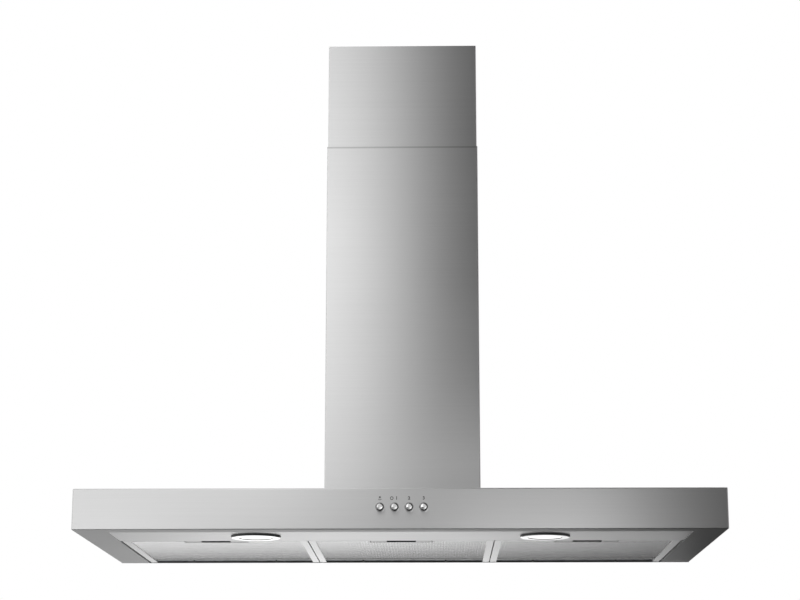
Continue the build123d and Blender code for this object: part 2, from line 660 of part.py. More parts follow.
def button(index):
    """A round polished button with a rounded, slightly dished face, a collar and a stem."""
    x = button_x(index)
    front = FRONT_Y - BUTTON_PROUD
    collar = FRONT_INNER + SEAT_GAP, FRONT_INNER + SEAT_GAP + BUTTON_COLLAR_THICKNESS
    cap = rod_y(BUTTON_RADIUS, x, (front, collar[1]), BUTTON_HEIGHT)
    rim = cap.edges().filter_by(GeomType.CIRCLE).sort_by(Axis.Y)[0]
    cap = fillet(rim, BUTTON_EDGE)
    flat = BUTTON_RADIUS - BUTTON_EDGE
    dish_radius = (flat**2 + BUTTON_DISH**2) / (2 * BUTTON_DISH)
    cap -= Pos(x, front + BUTTON_DISH - dish_radius, BUTTON_HEIGHT) * Sphere(dish_radius)
    cap += rod_y(BUTTON_RADIUS + BUTTON_COLLAR, x, collar, BUTTON_HEIGHT)
    stem_end = FRONT_INNER + SWITCH_WELL + SWITCH_BACK - BUTTON_TRAVEL
    return cap + rod_y(BUTTON_STEM_RADIUS, x, (collar[0], stem_end), BUTTON_HEIGHT)


def switch_block():
    """The block behind the front, with a well for each button and its spring."""
    reach = (len(BUTTON_NAMES) - 1) / 2 * BUTTON_PITCH + SWITCH_MARGIN
    y = FRONT_INNER, FRONT_INNER + SWITCH_WELL + SWITCH_BACK
    block = span(both(reach, BUTTON_OFFSET), y, both(SWITCH_MARGIN, BUTTON_HEIGHT))
    for index in range(len(BUTTON_NAMES)):
        x = button_x(index)
        well = BUTTON_RADIUS + BUTTON_COLLAR + BUTTON_GAP
        block -= rod_y(well, x, (y[0] - 1, y[0] + SWITCH_WELL), BUTTON_HEIGHT)
        block -= rod_y(BUTTON_STEM_RADIUS + BUTTON_GAP, x, (y[0], y[1] + 1), BUTTON_HEIGHT)
    return block


def button_spring(index):
    """The spring round a button's stem, from the collar to the bottom of the well."""
    start = FRONT_INNER + SEAT_GAP + BUTTON_COLLAR_THICKNESS + SEAT_GAP
    length = FRONT_INNER + SWITCH_WELL - SEAT_GAP - start
    spring = coil(SPRING_RADIUS, SPRING_WIRE, length, SPRING_TURNS)
    return Pos(button_x(index), start, BUTTON_HEIGHT) * Rot(-90, 0, 0) * spring


# ---- Blower box, collar and flaps ----


def box_screw_places():
    """Where the screws go through the flange of the blower box."""
    x = BOX_HALF + BOX_FLANGE / 2
    ends = (
        BOX_FRONT + BOX_SCREW_FROM_END,
        (BOX_FRONT + BOX_REAR) / 2,
        BOX_REAR - BOX_SCREW_FROM_END,
    )
    return [(side * x, y) for side in (-1, 1) for y in ends]


def blower_box():
    """The galvanised box over the air opening, open below, with the outlet hole on top."""
    y = BOX_FRONT, BOX_REAR
    box = span(both(BOX_HALF), y, (CANOPY_HEIGHT, BOX_TOP))
    inner_y = y[0] + BOX_SHEET, y[1] - BOX_SHEET
    box -= span(both(BOX_HALF - BOX_SHEET), inner_y, (CANOPY_HEIGHT - 1, BOX_TOP - BOX_SHEET))
    box -= rod_z(SEAT_INNER, 0, -DUCT_FROM_WALL, (BOX_TOP - BOX_SHEET - 1, BOX_TOP + 1))
    for side in (-1, 1):
        flange = sorted((side * (BOX_HALF - BOX_SHEET), side * (BOX_HALF + BOX_FLANGE)))
        box += span(flange, y, (CANOPY_HEIGHT, CANOPY_HEIGHT + BOX_SHEET))
    for x, screw_y in box_screw_places():
        box -= rod_z(BOX_SCREW_RADIUS + SEAT_GAP, x, screw_y, (CANOPY_HEIGHT - 1, CANOPY_HEIGHT + 3))
    wire_x, wire_y = terminal_place()
    return box - rod_z(LOOM_RADIUS + BUTTON_GAP, wire_x, wire_y, (BOX_TOP - BOX_SHEET - 1, BOX_TOP + 1))


def blower_box_screws():
    """The screws that hold the box's flange to the top of the canopy."""
    seat = CANOPY_HEIGHT + BOX_SHEET
    screws = []
    for x, y in box_screw_places():
        head = rod_z(BOX_SCREW_HEAD, x, y, (seat, seat + BOX_SCREW_HEAD_HEIGHT))
        head = fillet(head.edges().filter_by(GeomType.CIRCLE).sort_by(Axis.Z)[-1], BOX_SCREW_EDGE)
        screws.append(head + rod_z(BOX_SCREW_RADIUS, x, y, (seat - BOX_SCREW_LENGTH, seat + 1)))
    return Compound(children=screws)


def outlet_collar():
    """The round spigot that the exhaust duct slides over, with a seat inside for the flaps."""
    y = -DUCT_FROM_WALL
    collar = rod_z(DUCT_RADIUS, 0, y, (BOX_TOP, BOX_TOP + COLLAR_HEIGHT))
    collar += rod_z(DUCT_RADIUS + COLLAR_FLANGE, 0, y, (BOX_TOP, BOX_TOP + COLLAR_FLANGE_HEIGHT))
    collar -= rod_z(SEAT_INNER, 0, y, (BOX_TOP - 1, BOX_TOP + COLLAR_HEIGHT + 1))
    collar -= rod_z(DUCT_INNER, 0, y, (BOX_TOP + SEAT_HEIGHT, BOX_TOP + COLLAR_HEIGHT + 1))
    return collar - rod_x(FLAP_PIN_RADIUS + SHAFT_GAP, both(DUCT_RADIUS + 1), y, FLAP_Z)


def flap_pin():
    """The pin across the collar on which both flaps turn."""
    return rod_x(FLAP_PIN_RADIUS, both(DUCT_RADIUS), -DUCT_FROM_WALL, FLAP_Z)


def check_flap(side):
    """A half-round flap; side is -1 for the front one and 1 for the rear one."""
    y = -DUCT_FROM_WALL
    knuckle = FLAP_PIN_RADIUS + FLAP_KNUCKLE
    plate_z = BOX_TOP + SEAT_HEIGHT + SEAT_GAP, BOX_TOP + SEAT_HEIGHT + SEAT_GAP + FLAP_THICKNESS
    radius = DUCT_INNER - FLAP_RIM_GAP
    flap = rod_z(radius, 0, y, plate_z)
    edge = knuckle + SLIDE_GAP
    away = sorted((y + side * edge, y - side * (radius + 1)))
    flap -= span(both(radius + 1), away, (plate_z[0] - 1, plate_z[1] + 1))
    step = FLAP_KNUCKLE_LENGTH + FLAP_KNUCKLE_SPACE
    for place in (-2, 1):
        start = (place + (side > 0)) * step - FLAP_KNUCKLE_LENGTH / 2
        x = start, start + FLAP_KNUCKLE_LENGTH
        flap += span(x, sorted((y, y + side * (edge + 1))), plate_z)
        flap += rod_x(knuckle, x, y, FLAP_Z)
        flap -= rod_x(FLAP_PIN_RADIUS + 2 * SHAFT_GAP, (x[0] - 1, x[1] + 1), y, FLAP_Z)
    return flap


# ---- Blower ----


def scroll_outline(inset):
    """The side view of the scroll, a round case with an outlet that rises along its front."""
    radius = SCROLL_RADIUS - inset
    top = BOX_TOP - BOX_SHEET - SEAT_GAP
    front = FAN_Y - radius
    rear = FAN_Y - SCROLL_RADIUS + SCROLL_OUTLET - inset
    return radius, front, rear, top


def scroll_half(side):
    """One moulded half of the scroll, from the middle plane to its inlet."""
    x = sorted((0, side * SCROLL_HALF_WIDTH))
    radius, front, rear, top = scroll_outline(0)
    half = rod_x(radius, x, FAN_Y, FAN_Z) + span(x, (front, rear), (FAN_Z, top))
    flange_y = front - SCROLL_FLANGE, rear + SCROLL_FLANGE
    flange_x = sorted((0, side * (SCROLL_HALF_WIDTH + SCROLL_FLANGE)))
    half += span(flange_x, flange_y, (top - SCROLL_WALL, top))
    lip_x = sorted((side * SCROLL_HALF_WIDTH, side * (SCROLL_HALF_WIDTH + INLET_LIP_LENGTH)))
    half += rod_x(INLET_RADIUS + INLET_LIP, lip_x, FAN_Y, FAN_Z)
    radius, front, rear, _ = scroll_outline(SCROLL_WALL)
    inner_x = sorted((-side, side * (SCROLL_HALF_WIDTH - SCROLL_WALL)))
    half -= rod_x(radius, inner_x, FAN_Y, FAN_Z)
    half -= span(inner_x, (front, rear), (FAN_Z, top + 1))
    hole_x = sorted((side * (SCROLL_HALF_WIDTH - SCROLL_WALL - 1), side * (SPIDER_X + 1)))
    return half - rod_x(INLET_RADIUS, hole_x, FAN_Y, FAN_Z)


def blade():
    """The end view of one forward-curved blade, about the impeller's axis."""
    reach = IMPELLER_RADIUS - IMPELLER_INNER
    radius = reach / (2 * math.sin(math.radians(BLADE_SWEEP / 2)))
    offset = radius * math.cos(math.radians(BLADE_SWEEP / 2))
    middle = (IMPELLER_RADIUS + IMPELLER_INNER) / 2 - BLADE_SET_IN, -offset
    start = 90 - BLADE_SWEEP / 2
    outer = CenterArc(middle, radius + BLADE_THICKNESS / 2, start, BLADE_SWEEP)
    inner = CenterArc(middle, radius - BLADE_THICKNESS / 2, start, BLADE_SWEEP)
    return make_face([outer, inner, Line(outer @ 0, inner @ 0), Line(outer @ 1, inner @ 1)])


def impeller():
    """The double-inlet wheel: a middle disc, blades right through it, and a ring at each end."""
    half = IMPELLER_HALF_WIDTH
    wheel = rod_z(IMPELLER_RADIUS, 0, 0, both(IMPELLER_DISC / 2))
    wheel += rod_z(IMPELLER_HUB_RADIUS, 0, 0, both(IMPELLER_HUB_HALF))
    blades = [
        Rot(0, 0, 360 * index / BLADE_COUNT) * Pos(0, 0, -half) * extrude(blade(), 2 * half)
        for index in range(BLADE_COUNT)
    ]
    wheel += blades
    for end in (-1, 1):
        ring_at = sorted((end * half, end * (half - IMPELLER_DISC)))
        wheel += ring_z(IMPELLER_RADIUS, IMPELLER_RADIUS - IMPELLER_RING, 0, 0, ring_at)
    wheel -= rod_z(SHAFT_RADIUS + SHAFT_GAP, 0, 0, both(IMPELLER_HUB_HALF + 1))
    return Pos(0, FAN_Y, FAN_Z) * Rot(0, 90, 0) * wheel


def motor_rotor():
    """The rotor pressed on the shaft that carries the impeller."""
    core_x = both(STATOR_LENGTH / 2, MOTOR_START + MOTOR_LENGTH / 2)
    shaft_x = -SHAFT_END, MOTOR_END - MOTOR_CAP + BEARING_WIDTH
    core = rod_x(MOTOR_RADIUS - MOTOR_WALL - STATOR_RING - AIR_GAP, core_x, FAN_Y, FAN_Z)
    return core + rod_x(SHAFT_RADIUS, shaft_x, FAN_Y, FAN_Z)


def motor_housing():
    """The motor's can, with a bearing pocket in each end and the flange that bolts to the spider."""
    x = MOTOR_START, MOTOR_END
    flange_x = SPIDER_X + SPIDER_SHEET + SEAT_GAP, SPIDER_X + 2 * SPIDER_SHEET + SEAT_GAP
    can = rod_x(MOTOR_RADIUS, x, FAN_Y, FAN_Z)
    can += rod_x(MOTOR_RADIUS + MOTOR_FLANGE, flange_x, FAN_Y, FAN_Z)
    can -= rod_x(MOTOR_RADIUS - MOTOR_WALL, (x[0] + MOTOR_CAP, x[1] - MOTOR_CAP), FAN_Y, FAN_Z)
    pocket_x = x[0] + MOTOR_CAP - BEARING_WIDTH, x[1] - MOTOR_CAP + BEARING_WIDTH
    can -= rod_x(BEARING_RADIUS + SHAFT_GAP, pocket_x, FAN_Y, FAN_Z)
    return can - rod_x(SHAFT_RADIUS + 1, (x[0] - 1, x[0] + MOTOR_CAP), FAN_Y, FAN_Z)


def motor_stator():
    """The stator ring with its windings standing out at both ends."""
    outer = MOTOR_RADIUS - MOTOR_WALL - SHAFT_GAP
    inner = MOTOR_RADIUS - MOTOR_WALL - STATOR_RING
    middle = MOTOR_START + MOTOR_LENGTH / 2
    ring = rod_x(outer, both(STATOR_LENGTH / 2, middle), FAN_Y, FAN_Z)
    ring += rod_x(outer - WINDING_STEP, both(STATOR_LENGTH / 2 + WINDING_LENGTH, middle), FAN_Y, FAN_Z)
    return ring - rod_x(inner, both(STATOR_LENGTH, middle), FAN_Y, FAN_Z)


def motor_bearings():
    """The two bearings of the shaft, in the ends of the motor."""
    starts = MOTOR_START + MOTOR_CAP - BEARING_WIDTH, MOTOR_END - MOTOR_CAP
    rings = [
        ring_x(BEARING_RADIUS, SHAFT_RADIUS + SHAFT_GAP, (start, start + BEARING_WIDTH), FAN_Y, FAN_Z)
        for start in starts
    ]
    return Compound(children=rings)


def motor_spider():
    """The three-armed bracket across the right inlet that holds the motor."""
    lip = INLET_RADIUS + INLET_LIP + SLIDE_GAP
    plane = SPIDER_X, SPIDER_X + SPIDER_SHEET
    seat = SCROLL_HALF_WIDTH + SEAT_GAP, plane[1]
    spider = ring_x(lip + SPIDER_RING, lip, seat, FAN_Y, FAN_Z)
    inner = MOTOR_RADIUS + SEAT_GAP
    hub = ring_x(MOTOR_RADIUS + MOTOR_FLANGE + SPIDER_HUB_MARGIN, inner, plane, FAN_Y, FAN_Z)
    reach = lip + SPIDER_RING / 2
    for index in range(SPIDER_ARMS):
        arm = span(plane, both(SPIDER_ARM_WIDTH / 2), (inner + 1, reach))
        turn = 180 + 360 * index / SPIDER_ARMS
        hub += Pos(0, FAN_Y, FAN_Z) * Rot(turn, 0, 0) * arm
    return spider + hub


def inlet_guard():
    """The wire guard over the left inlet."""
    lip = INLET_RADIUS + INLET_LIP + SLIDE_GAP
    plane = -SPIDER_X - GUARD_WIRE
    seat = -SPIDER_X - 2 * GUARD_WIRE, -SCROLL_HALF_WIDTH - SEAT_GAP
    guard = ring_x(lip + SPIDER_RING, lip, seat, FAN_Y, FAN_Z)
    for radius in GUARD_RINGS:
        guard += Pos(plane, FAN_Y, FAN_Z) * Rot(0, 90, 0) * Torus(radius, GUARD_WIRE)
    for turn in (0, 90):
        wire = rod_z(GUARD_WIRE, 0, 0, both(lip + GUARD_WIRE_END))
        guard += Pos(plane, FAN_Y, FAN_Z) * Rot(turn + 45, 0, 0) * wire
    return guard


def motor_capacitor():
    """The run capacitor, standing against the left wall of the box."""
    x = -BOX_HALF + BOX_SHEET + SEAT_GAP + CAPACITOR_RADIUS
    y = BOX_REAR - BOX_SHEET - SEAT_GAP - CAPACITOR_RADIUS
    top = BOX_TOP - BOX_SHEET - SEAT_GAP
    can = rod_z(CAPACITOR_RADIUS, x, y, (top - CAPACITOR_LENGTH, top))
    return fillet(can.edges().filter_by(GeomType.CIRCLE).sort_by(Axis.Z)[0], CAPACITOR_EDGE)


# ---- Electrics ----


def terminal_place():
    """The middle of the terminal box, in the rear right corner on top of the blower box."""
    x = BOX_HALF - TERMINAL_WIDTH / 2 - TERMINAL_INSET
    return x, BOX_REAR - TERMINAL_DEPTH / 2 - TERMINAL_INSET


def terminal_box():
    """The box where the mains lead is joined, with a threaded gland on top."""
    x, y = terminal_place()
    top = BOX_TOP + TERMINAL_HEIGHT
    wide, deep = TERMINAL_WIDTH / 2, TERMINAL_DEPTH / 2
    box = span(both(wide, x), both(deep, y), (BOX_TOP, top))
    box = fillet(box.edges().filter_by(Axis.Z), TERMINAL_EDGE)
    wall = TERMINAL_WALL
    box -= span(both(wide - wall, x), both(deep - wall, y), (BOX_TOP + wall, top - wall))
    box += rod_z(GLAND_RADIUS, x, y, (top - 1, top + GLAND_HEIGHT))
    return box - rod_z(GLAND_BORE, x, y, (top - wall - 1, top + GLAND_HEIGHT + 1))


def lamp_supply():
    """The lamp transformer, fixed under the top of the canopy."""
    y = both(SUPPLY_DEPTH / 2, -SUPPLY_FROM_WALL)
    x = both(SUPPLY_WIDTH / 2, SUPPLY_FROM_CENTRE)
    body = span(x, y, (INNER_TOP - SUPPLY_HEIGHT, INNER_TOP))
    body = fillet(body.edges().filter_by(Axis.Z), SUPPLY_EDGE)
    ear_half = SUPPLY_WIDTH / 2 + SUPPLY_EAR
    ears = span(both(ear_half, SUPPLY_FROM_CENTRE), y, (INNER_TOP - SUPPLY_EAR_HEIGHT, INNER_TOP))
    return body + ears


def wire(radius, points):
    """A round wire through a list of points, with as wide an arc at each corner as its runs allow."""
    places = [Vector(*point) for point in points]
    bends = []
    for before, here, after in zip(places, places[1:], places[2:]):
        run_in, run_out = here - before, after - here
        half_turn = math.radians(run_in.get_angle(run_out)) / 2
        bends.append(WIRE_BEND_SHARE * min(run_in.length, run_out.length) / math.tan(half_turn))
    path = FilletPolyline(*places, radius=bends)
    start = Plane(origin=path @ 0, z_dir=path % 0)
    return sweep(start * Circle(radius), path=path)


def wiring_loom():
    """The leads from the switch block to the supply and the terminal box, and both lamps' wires."""
    start_y = FRONT_INNER + SWITCH_WELL + SWITCH_BACK
    top = INNER_TOP - LOOM_RADIUS - BUTTON_GAP
    bend_y = start_y + LOOM_RUN_OUT
    high_y = bend_y + LOOM_RISE
    supply_front = -SUPPLY_FROM_WALL - SUPPLY_DEPTH / 2
    supply_rear = -SUPPLY_FROM_WALL + SUPPLY_DEPTH / 2
    box_x, box_y = terminal_place()
    rising = [(start_y, LOOM_HEIGHT), (bend_y, LOOM_HEIGHT), (high_y, top)]
    to_box = [(BUTTON_OFFSET, y, z) for y, z in rising]
    to_box += [(BUTTON_OFFSET, LOOM_TURN, top), (box_x, LOOM_ENTRY, top), (box_x, box_y, top)]
    to_box += [(box_x, box_y, BOX_TOP)]
    side_x = BUTTON_OFFSET + LOOM_SPACING
    in_x = SUPPLY_FROM_CENTRE - LAMP_WIRE_SIDE_STEP
    to_supply = [(side_x, y, z) for y, z in rising]
    to_supply += [(side_x, high_y + LAMP_WIRE_STEP_BACK, top)]
    to_supply += [(in_x, supply_front - LAMP_WIRE_STEP_BACK, top), (in_x, supply_front, top)]
    lamp_x = LAMP_SPACING / 2
    low, drop = LAMP_WIRE_HEIGHT, PANEL_RECESS + LAMP_CAN_HEIGHT + LAMP_CAN_SHEET
    near_y = LAMP_Y + LAMP_WIRE_STEP_BACK
    near_x = lamp_x + LAMP_WIRE_SIDE_STEP
    back_y = -REAR_WIRE_FROM_WALL
    right = [(near_x, supply_front, low), (near_x, near_y, low), (lamp_x, LAMP_Y, low)]
    right += [(lamp_x, LAMP_Y, drop)]
    left = [(SUPPLY_FROM_CENTRE, supply_rear, low), (SUPPLY_FROM_CENTRE, back_y, low)]
    left += [(-near_x, back_y, low), (-near_x, near_y, low), (-lamp_x, LAMP_Y, low)]
    left += [(-lamp_x, LAMP_Y, drop)]
    leads = [wire(LOOM_RADIUS, points) for points in (to_box, to_supply)]
    leads += [wire(LAMP_WIRE_RADIUS, points) for points in (right, left)]
    return Compound(children=leads)


def parts():
    """Every sub-part by the name of its node."""
    made = {
        "canopy_shell": canopy_shell(),
        "canopy_rear_panel": canopy_rear_panel(),
        "lower_chimney": lower_chimney(),
        "upper_chimney": upper_chimney(),
        "chimney_wall_bracket": chimney_wall_bracket(),
        "chimney_cover_screws": chimney_cover_screws(),
        "light_panel": light_panel(),
        "filter_support_rail": filter_support_rail(),
        "filter_hanger_rod": filter_hanger_rod(),
        "switch_block": switch_block(),
        "blower_box": blower_box(),
        "blower_box_screws": blower_box_screws(),
        "outlet_collar": outlet_collar(),
        "flap_pin": flap_pin(),
        "check_flap_front": check_flap(-1),
        "check_flap_rear": check_flap(1),
        "scroll_left": scroll_half(-1),
        "scroll_right": scroll_half(1),
        "impeller": impeller(),
        "motor_rotor": motor_rotor(),
        "motor_housing": motor_housing(),
        "motor_stator": motor_stator(),
        "motor_bearings": motor_bearings(),
        "motor_spider": motor_spider(),
        "inlet_guard": inlet_guard(),
        "motor_capacitor": motor_capacitor(),
        "terminal_box": terminal_box(),
        "lamp_supply": lamp_supply(),
        "wiring_loom": wiring_loom(),
    }
    for side, name in ((-1, "left"), (1, "right")):
        x = side * LAMP_SPACING / 2
        made[f"lamp_can_{name}"] = lamp_can(x)
        made[f"lamp_bezel_{name}"] = lamp_bezel(x)
        made[f"lamp_lens_{name}"] = lamp_lens(x)
        made[f"lamp_bulb_{name}"] = lamp_bulb(x)
    for index, name in enumerate(BUTTON_NAMES):
        made[f"button_{name}"] = button(index)
        made[f"button_spring_{name}"] = button_spring(index)
    for index in range(FILTER_COUNT):
        number = index + 1
        made[f"filter_frame_{number}"] = filter_frame(index)
        made[f"filter_media_{number}"] = filter_media(index)
        made[f"latch_cup_{number}"] = latch_cup(index)
        made[f"latch_plate_{number}"] = latch_plate(index)
        made[f"latch_spring_{number}"] = latch_spring(index)
    return made


def main():
    os.makedirs("parts", exist_ok=True)
    for name, shape in parts().items():
        export_step(shape, f"parts/{name}.step")


main()
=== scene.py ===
"""The looks of a wall-mounted chimney range hood in brushed stainless steel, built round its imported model.

X runs to the right seen from the front, Y back into the wall and Z up, in metres. The canopy hangs above
a pale floor in a white studio, seen from a little below as in the photograph.
"""

import math

import bmesh
import bpy
from mathutils import Euler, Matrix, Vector

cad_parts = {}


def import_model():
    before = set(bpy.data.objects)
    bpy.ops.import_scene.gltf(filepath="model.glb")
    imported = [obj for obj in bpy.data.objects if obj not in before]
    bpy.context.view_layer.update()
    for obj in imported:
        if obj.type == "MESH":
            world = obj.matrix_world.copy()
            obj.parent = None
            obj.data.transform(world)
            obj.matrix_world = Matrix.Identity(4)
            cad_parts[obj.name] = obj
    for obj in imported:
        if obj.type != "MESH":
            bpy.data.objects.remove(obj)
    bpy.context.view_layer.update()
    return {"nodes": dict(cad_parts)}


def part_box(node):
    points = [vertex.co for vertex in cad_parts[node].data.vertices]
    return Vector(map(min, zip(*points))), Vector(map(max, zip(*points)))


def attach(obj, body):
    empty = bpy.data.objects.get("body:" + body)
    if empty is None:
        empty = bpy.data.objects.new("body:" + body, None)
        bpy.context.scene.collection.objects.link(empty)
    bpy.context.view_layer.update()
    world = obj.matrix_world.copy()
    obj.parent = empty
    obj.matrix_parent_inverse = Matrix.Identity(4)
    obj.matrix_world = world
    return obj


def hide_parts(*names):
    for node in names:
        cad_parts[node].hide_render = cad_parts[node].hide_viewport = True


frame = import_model()
nodes = frame["nodes"]

MM = 0.001

# ---- Camera, fitted to the outline of the hood in the photograph ----
CAMERA_PLACE = (0.0517, -3.1659, -0.3190)
CAMERA_PITCH = math.radians(13.265)
CAMERA_TURN = math.radians(1.068)
CAMERA_LENS = 89.66

# ---- Studio ----
FLOOR_HEIGHT = -1.6
FLOOR_SIZE = 14.0
FLOOR_FADE = (2.5, 6.5)
WORLD_LEVEL = 0.62
WORLD_WHITE = 1.0

# ---- Lamps: each one's place, what it aims at and its power ----
KEY_LIGHT = ((-2.2, -2.4, 2.4), (0, -0.2, 0.3), 26.0)
FILL_LIGHT = ((1.8, -2.2, 0.6), (0, -0.2, 0.2), 7.0)
LIGHT_SIZE = (1.6, 1.6)

# ---- Soft boxes round the hood: stops are places along X and the brightness there ----
FRONT_CARD_Y = -1.5
CARD_FLOOR = -1.5
LOW_CARD_Z = (CARD_FLOOR, -0.28)
LOW_CARD_STOPS = ((-1.6, 0.05), (1.6, 0.02))
FRONT_CARD_Z = (-0.28, 0.205)
FRONT_CARD_STOPS = (
    (-1.6, 0.75), (-1.15, 0.9), (-0.85, 1.75), (-0.62, 1.68), (-0.49, 1.42), (-0.36, 1.03), (-0.21, 0.68),
    (0.0, 0.64), (0.05, 0.75), (0.12, 1.5), (0.33, 1.75), (0.45, 0.9), (0.6, 0.0), (0.95, 0.02),
    (1.35, 0.5), (1.6, 0.5),
)
# The tall box has bands, each with its lower and upper edge and its share of the brightness.
TALL_CARD_BANDS = ((0.205, 0.45, 0.86), (0.45, 1.2, 1.08), (1.2, 2.6, 0.7))
TALL_CARD_STOPS = (
    (-1.6, 0.7), (-0.75, 0.85), (-0.45, 1.2), (-0.33, 1.6), (-0.28, 1.75), (-0.12, 1.35), (-0.02, 0.7),
    (0.06, 0.15), (0.14, 0.0), (0.5, 0.0), (1.0, 0.5), (1.6, 0.5),
)
DARK_FLOOR_Y = (FRONT_CARD_Y, -0.42)
DARK_FLOOR_STOPS = ((-1.6, 0.4), (-0.5, 0.3), (0.0, 0.05), (0.9, 0.02), (1.6, 0.3))
FLAT_CARD_Y = (-0.42, 0.9)
FLAT_CARD_STOPS = ((-1.6, 0.5), (-0.4, 0.4), (0.2, 0.2), (0.6, 0.02), (0.9, 0.02), (1.6, 0.3))
BACK_CARD_Y = 0.9
BACK_CARD_Z = (-0.45, 0.02)
BACK_CARD_STOPS = (
    (-1.6, 0.7), (-0.65, 0.95), (-0.4, 1.7), (-0.3, 1.85), (0.1, 1.65), (0.3, 1.2), (0.42, 1.0), (0.55, 0.8),
    (0.59, 0.05), (0.9, 0.05), (1.3, 0.4), (1.6, 0.4),
)
SHADE_CARD_Z = (-1.03, -0.45)
SHADE_CARD_STOPS = ((-1.6, 0.2), (0.2, 0.15), (0.5, 0.02), (0.9, 0.02), (1.6, 0.3))
MESH_CARD_Z = (CARD_FLOOR, -1.03)
MESH_CARD_STOPS = ((-1.6, 0.95), (-0.3, 1.25), (0.1, 1.1), (0.4, 0.5), (0.6, 0.15), (0.9, 0.1), (1.6, 0.3))
RIGHT_CARD_X = 1.6
RIGHT_CARD_LEVEL = 0.4

# ---- Brushed steel: the scales of its grain across and along, and the shades of its streaks ----
STEEL_TONE = 0.60
HAIR_GRAIN = (2600.0, 9.0)
STREAK_GRAIN = (420.0, 2.2)
GRAIN_SHADES = (0.91, 1.07)
GRAIN_BUMP = (0.10, 0.05 * MM)
# A face whose normal leans this far sideways has its grain along Y.
SIDEWAYS = 0.7

# ---- How much of a normal points a way on faces that look that way, and how little on others ----
SQUARE_ON = 0.9
UPRIGHT = 0.1

# ---- Filter mesh ----
STRAND_PITCH = 5.0 * MM
STRAND_ROW = 2.3 * MM
STRAND_WIDTH = 0.75 * MM
STRAND_THICKNESS = 0.5 * MM
STRAND_TILT = -0.35
NET_LIFT = 0.3 * MM
NET_GAP = 1.5 * MM
BACKING_LIFT = 1.3 * MM
BACKING_CRIMP = 0.35 * MM
BACKING_STEP = 5.0 * MM
BACKING_DROP = 0.2 * MM
BACKING_GAP = 1.0 * MM
WEAVE_PITCH = (4.2 * MM, 23.0 * MM)
WEAVE_DEPTH = 0.09

# ---- Painted shade along the seam at the top of the lower chimney cover: its height and how dark ----
SEAM_SHADE_HEIGHT = 2.6 * MM
SEAM_PAINTED_SHADE = 0.72

# ---- Canopy flanges: how far in their inner edges start, and how high those are; these edges get painted shade ----
FLANGE_MARGIN = 15.0 * MM
FLANGE_SHEET = 0.7 * MM

# ---- Where painted shade goes: the button flank (painted dark reflection), the lamp bezel's walls and the latch tab ----
FLANK_SLOPE = 0.994
BEZEL_WALL_SLOPE = 0.6
LATCH_SHADE_FROM = 10.0 * MM

# ---- Lamp glass: moulded rings on a dome that turns up at its rim ----
LENS_RINGS = 9
LENS_RING_STEPS = 8
LENS_RIB = 0.22 * MM
LENS_RIB_FADE = 6
LENS_DOME = 0.6 * MM
LENS_RIM = 0.87
LENS_SEGMENTS = 96

# ---- Buttons and the marks over them ----
BUTTONS = ("light", "speed_1", "speed_2", "speed_3")
MARK_HEIGHT = 4.3 * MM
FIGURE_SHARE = 0.7
MARK_RAISE = 12.75 * MM
MARK_THICKNESS = 0.04 * MM
MARK_WEIGHT = 0.2 * MM
OFF_MARK_STEP = 3.7 * MM
ONE_MARK_STEP = 2.9 * MM
OFF_RING = (1.45 * MM, 2.4 * MM)
LAMP_DOT = (0.3 * MM, 1.35 * MM)
LAMP_DOT_RAISE = 1.3 * MM
LAMP_BOWL = (1.95 * MM, 2.65 * MM)
BOWL_TURN = (math.radians(205), math.radians(335))
FULL_TURN = (0.0, 2 * math.pi)


# ======== Helpers ========


def object_from(name, data):
    """An object of some data, in the scene."""
    thing = bpy.data.objects.new(name, data)
    bpy.context.collection.objects.link(thing)
    return thing


def new_material(name):
    """A material with an empty tree but for its output."""
    material = bpy.data.materials.new(name)
    material.use_nodes = True
    tree = material.node_tree
    tree.nodes.clear()
    output = tree.nodes.new("ShaderNodeOutputMaterial")
    return material, tree, output


def add(tree, kind, **settings):
    """A node with its properties and input values set."""
    node = tree.nodes.new(kind)
    for key, value in settings.items():
        if key.startswith("in_"):
            node.inputs[key[3:].replace("_", " ")].default_value = value
        else:
            setattr(node, key, value)
    return node


def join(tree, source, target):
    """A link from one socket to another."""
    tree.links.new(source, target)


def grey(value):
    """A neutral colour."""
    return (value, value, value, 1.0)


def calculate(tree, operation, *values):
    """The result of a sum on values that are sockets or plain numbers."""
    node = add(tree, "ShaderNodeMath", operation=operation)
    for place, value in zip(node.inputs, values):
        if isinstance(value, float):
            place.default_value = value
        else:
            join(tree, value, place)
    return node.outputs[0]


def axes(tree, vector):
    """A vector's parts, by the names X, Y and Z."""
    node = add(tree, "ShaderNodeSeparateXYZ")
    join(tree, vector, node.inputs["Vector"])
    return node.outputs


def object_coords(tree, scale):
    """Object coordinates, stretched by one scale or by a scale for each axis."""
    coords = add(tree, "ShaderNodeTexCoord")
    mapping = add(tree, "ShaderNodeMapping")
    mapping.inputs["Scale"].default_value = scale if isinstance(scale, tuple) else (scale,) * 3
    join(tree, coords.outputs["Object"], mapping.inputs["Vector"])
    return mapping.outputs["Vector"]


def noise(tree, vector, detail=3.0):
    """Cloudy noise from 0 to 1."""
    node = add(tree, "ShaderNodeTexNoise", in_Scale=1.0, in_Detail=detail, in_Roughness=0.6)
    join(tree, vector, node.inputs["Vector"])
    return node.outputs["Fac"]


def spread(tree, value, low, high, from_low=0.0, from_high=1.0):
    """A value from one range mapped onto another."""
    node = add(tree, "ShaderNodeMapRange")
    for name, number in (("From Min", from_low), ("From Max", from_high), ("To Min", low), ("To Max", high)):
        node.inputs[name].default_value = number
    join(tree, value, node.inputs["Value"])
    return node.outputs["Result"]


def tone_between(tree, value, dark, light):
    """A colour between two, by a value from 0 to 1."""
    node = add(tree, "ShaderNodeMix", data_type="RGBA")
    node.inputs[6].default_value = dark
    node.inputs[7].default_value = light
    join(tree, value, node.inputs[0])
    return node.outputs[2]


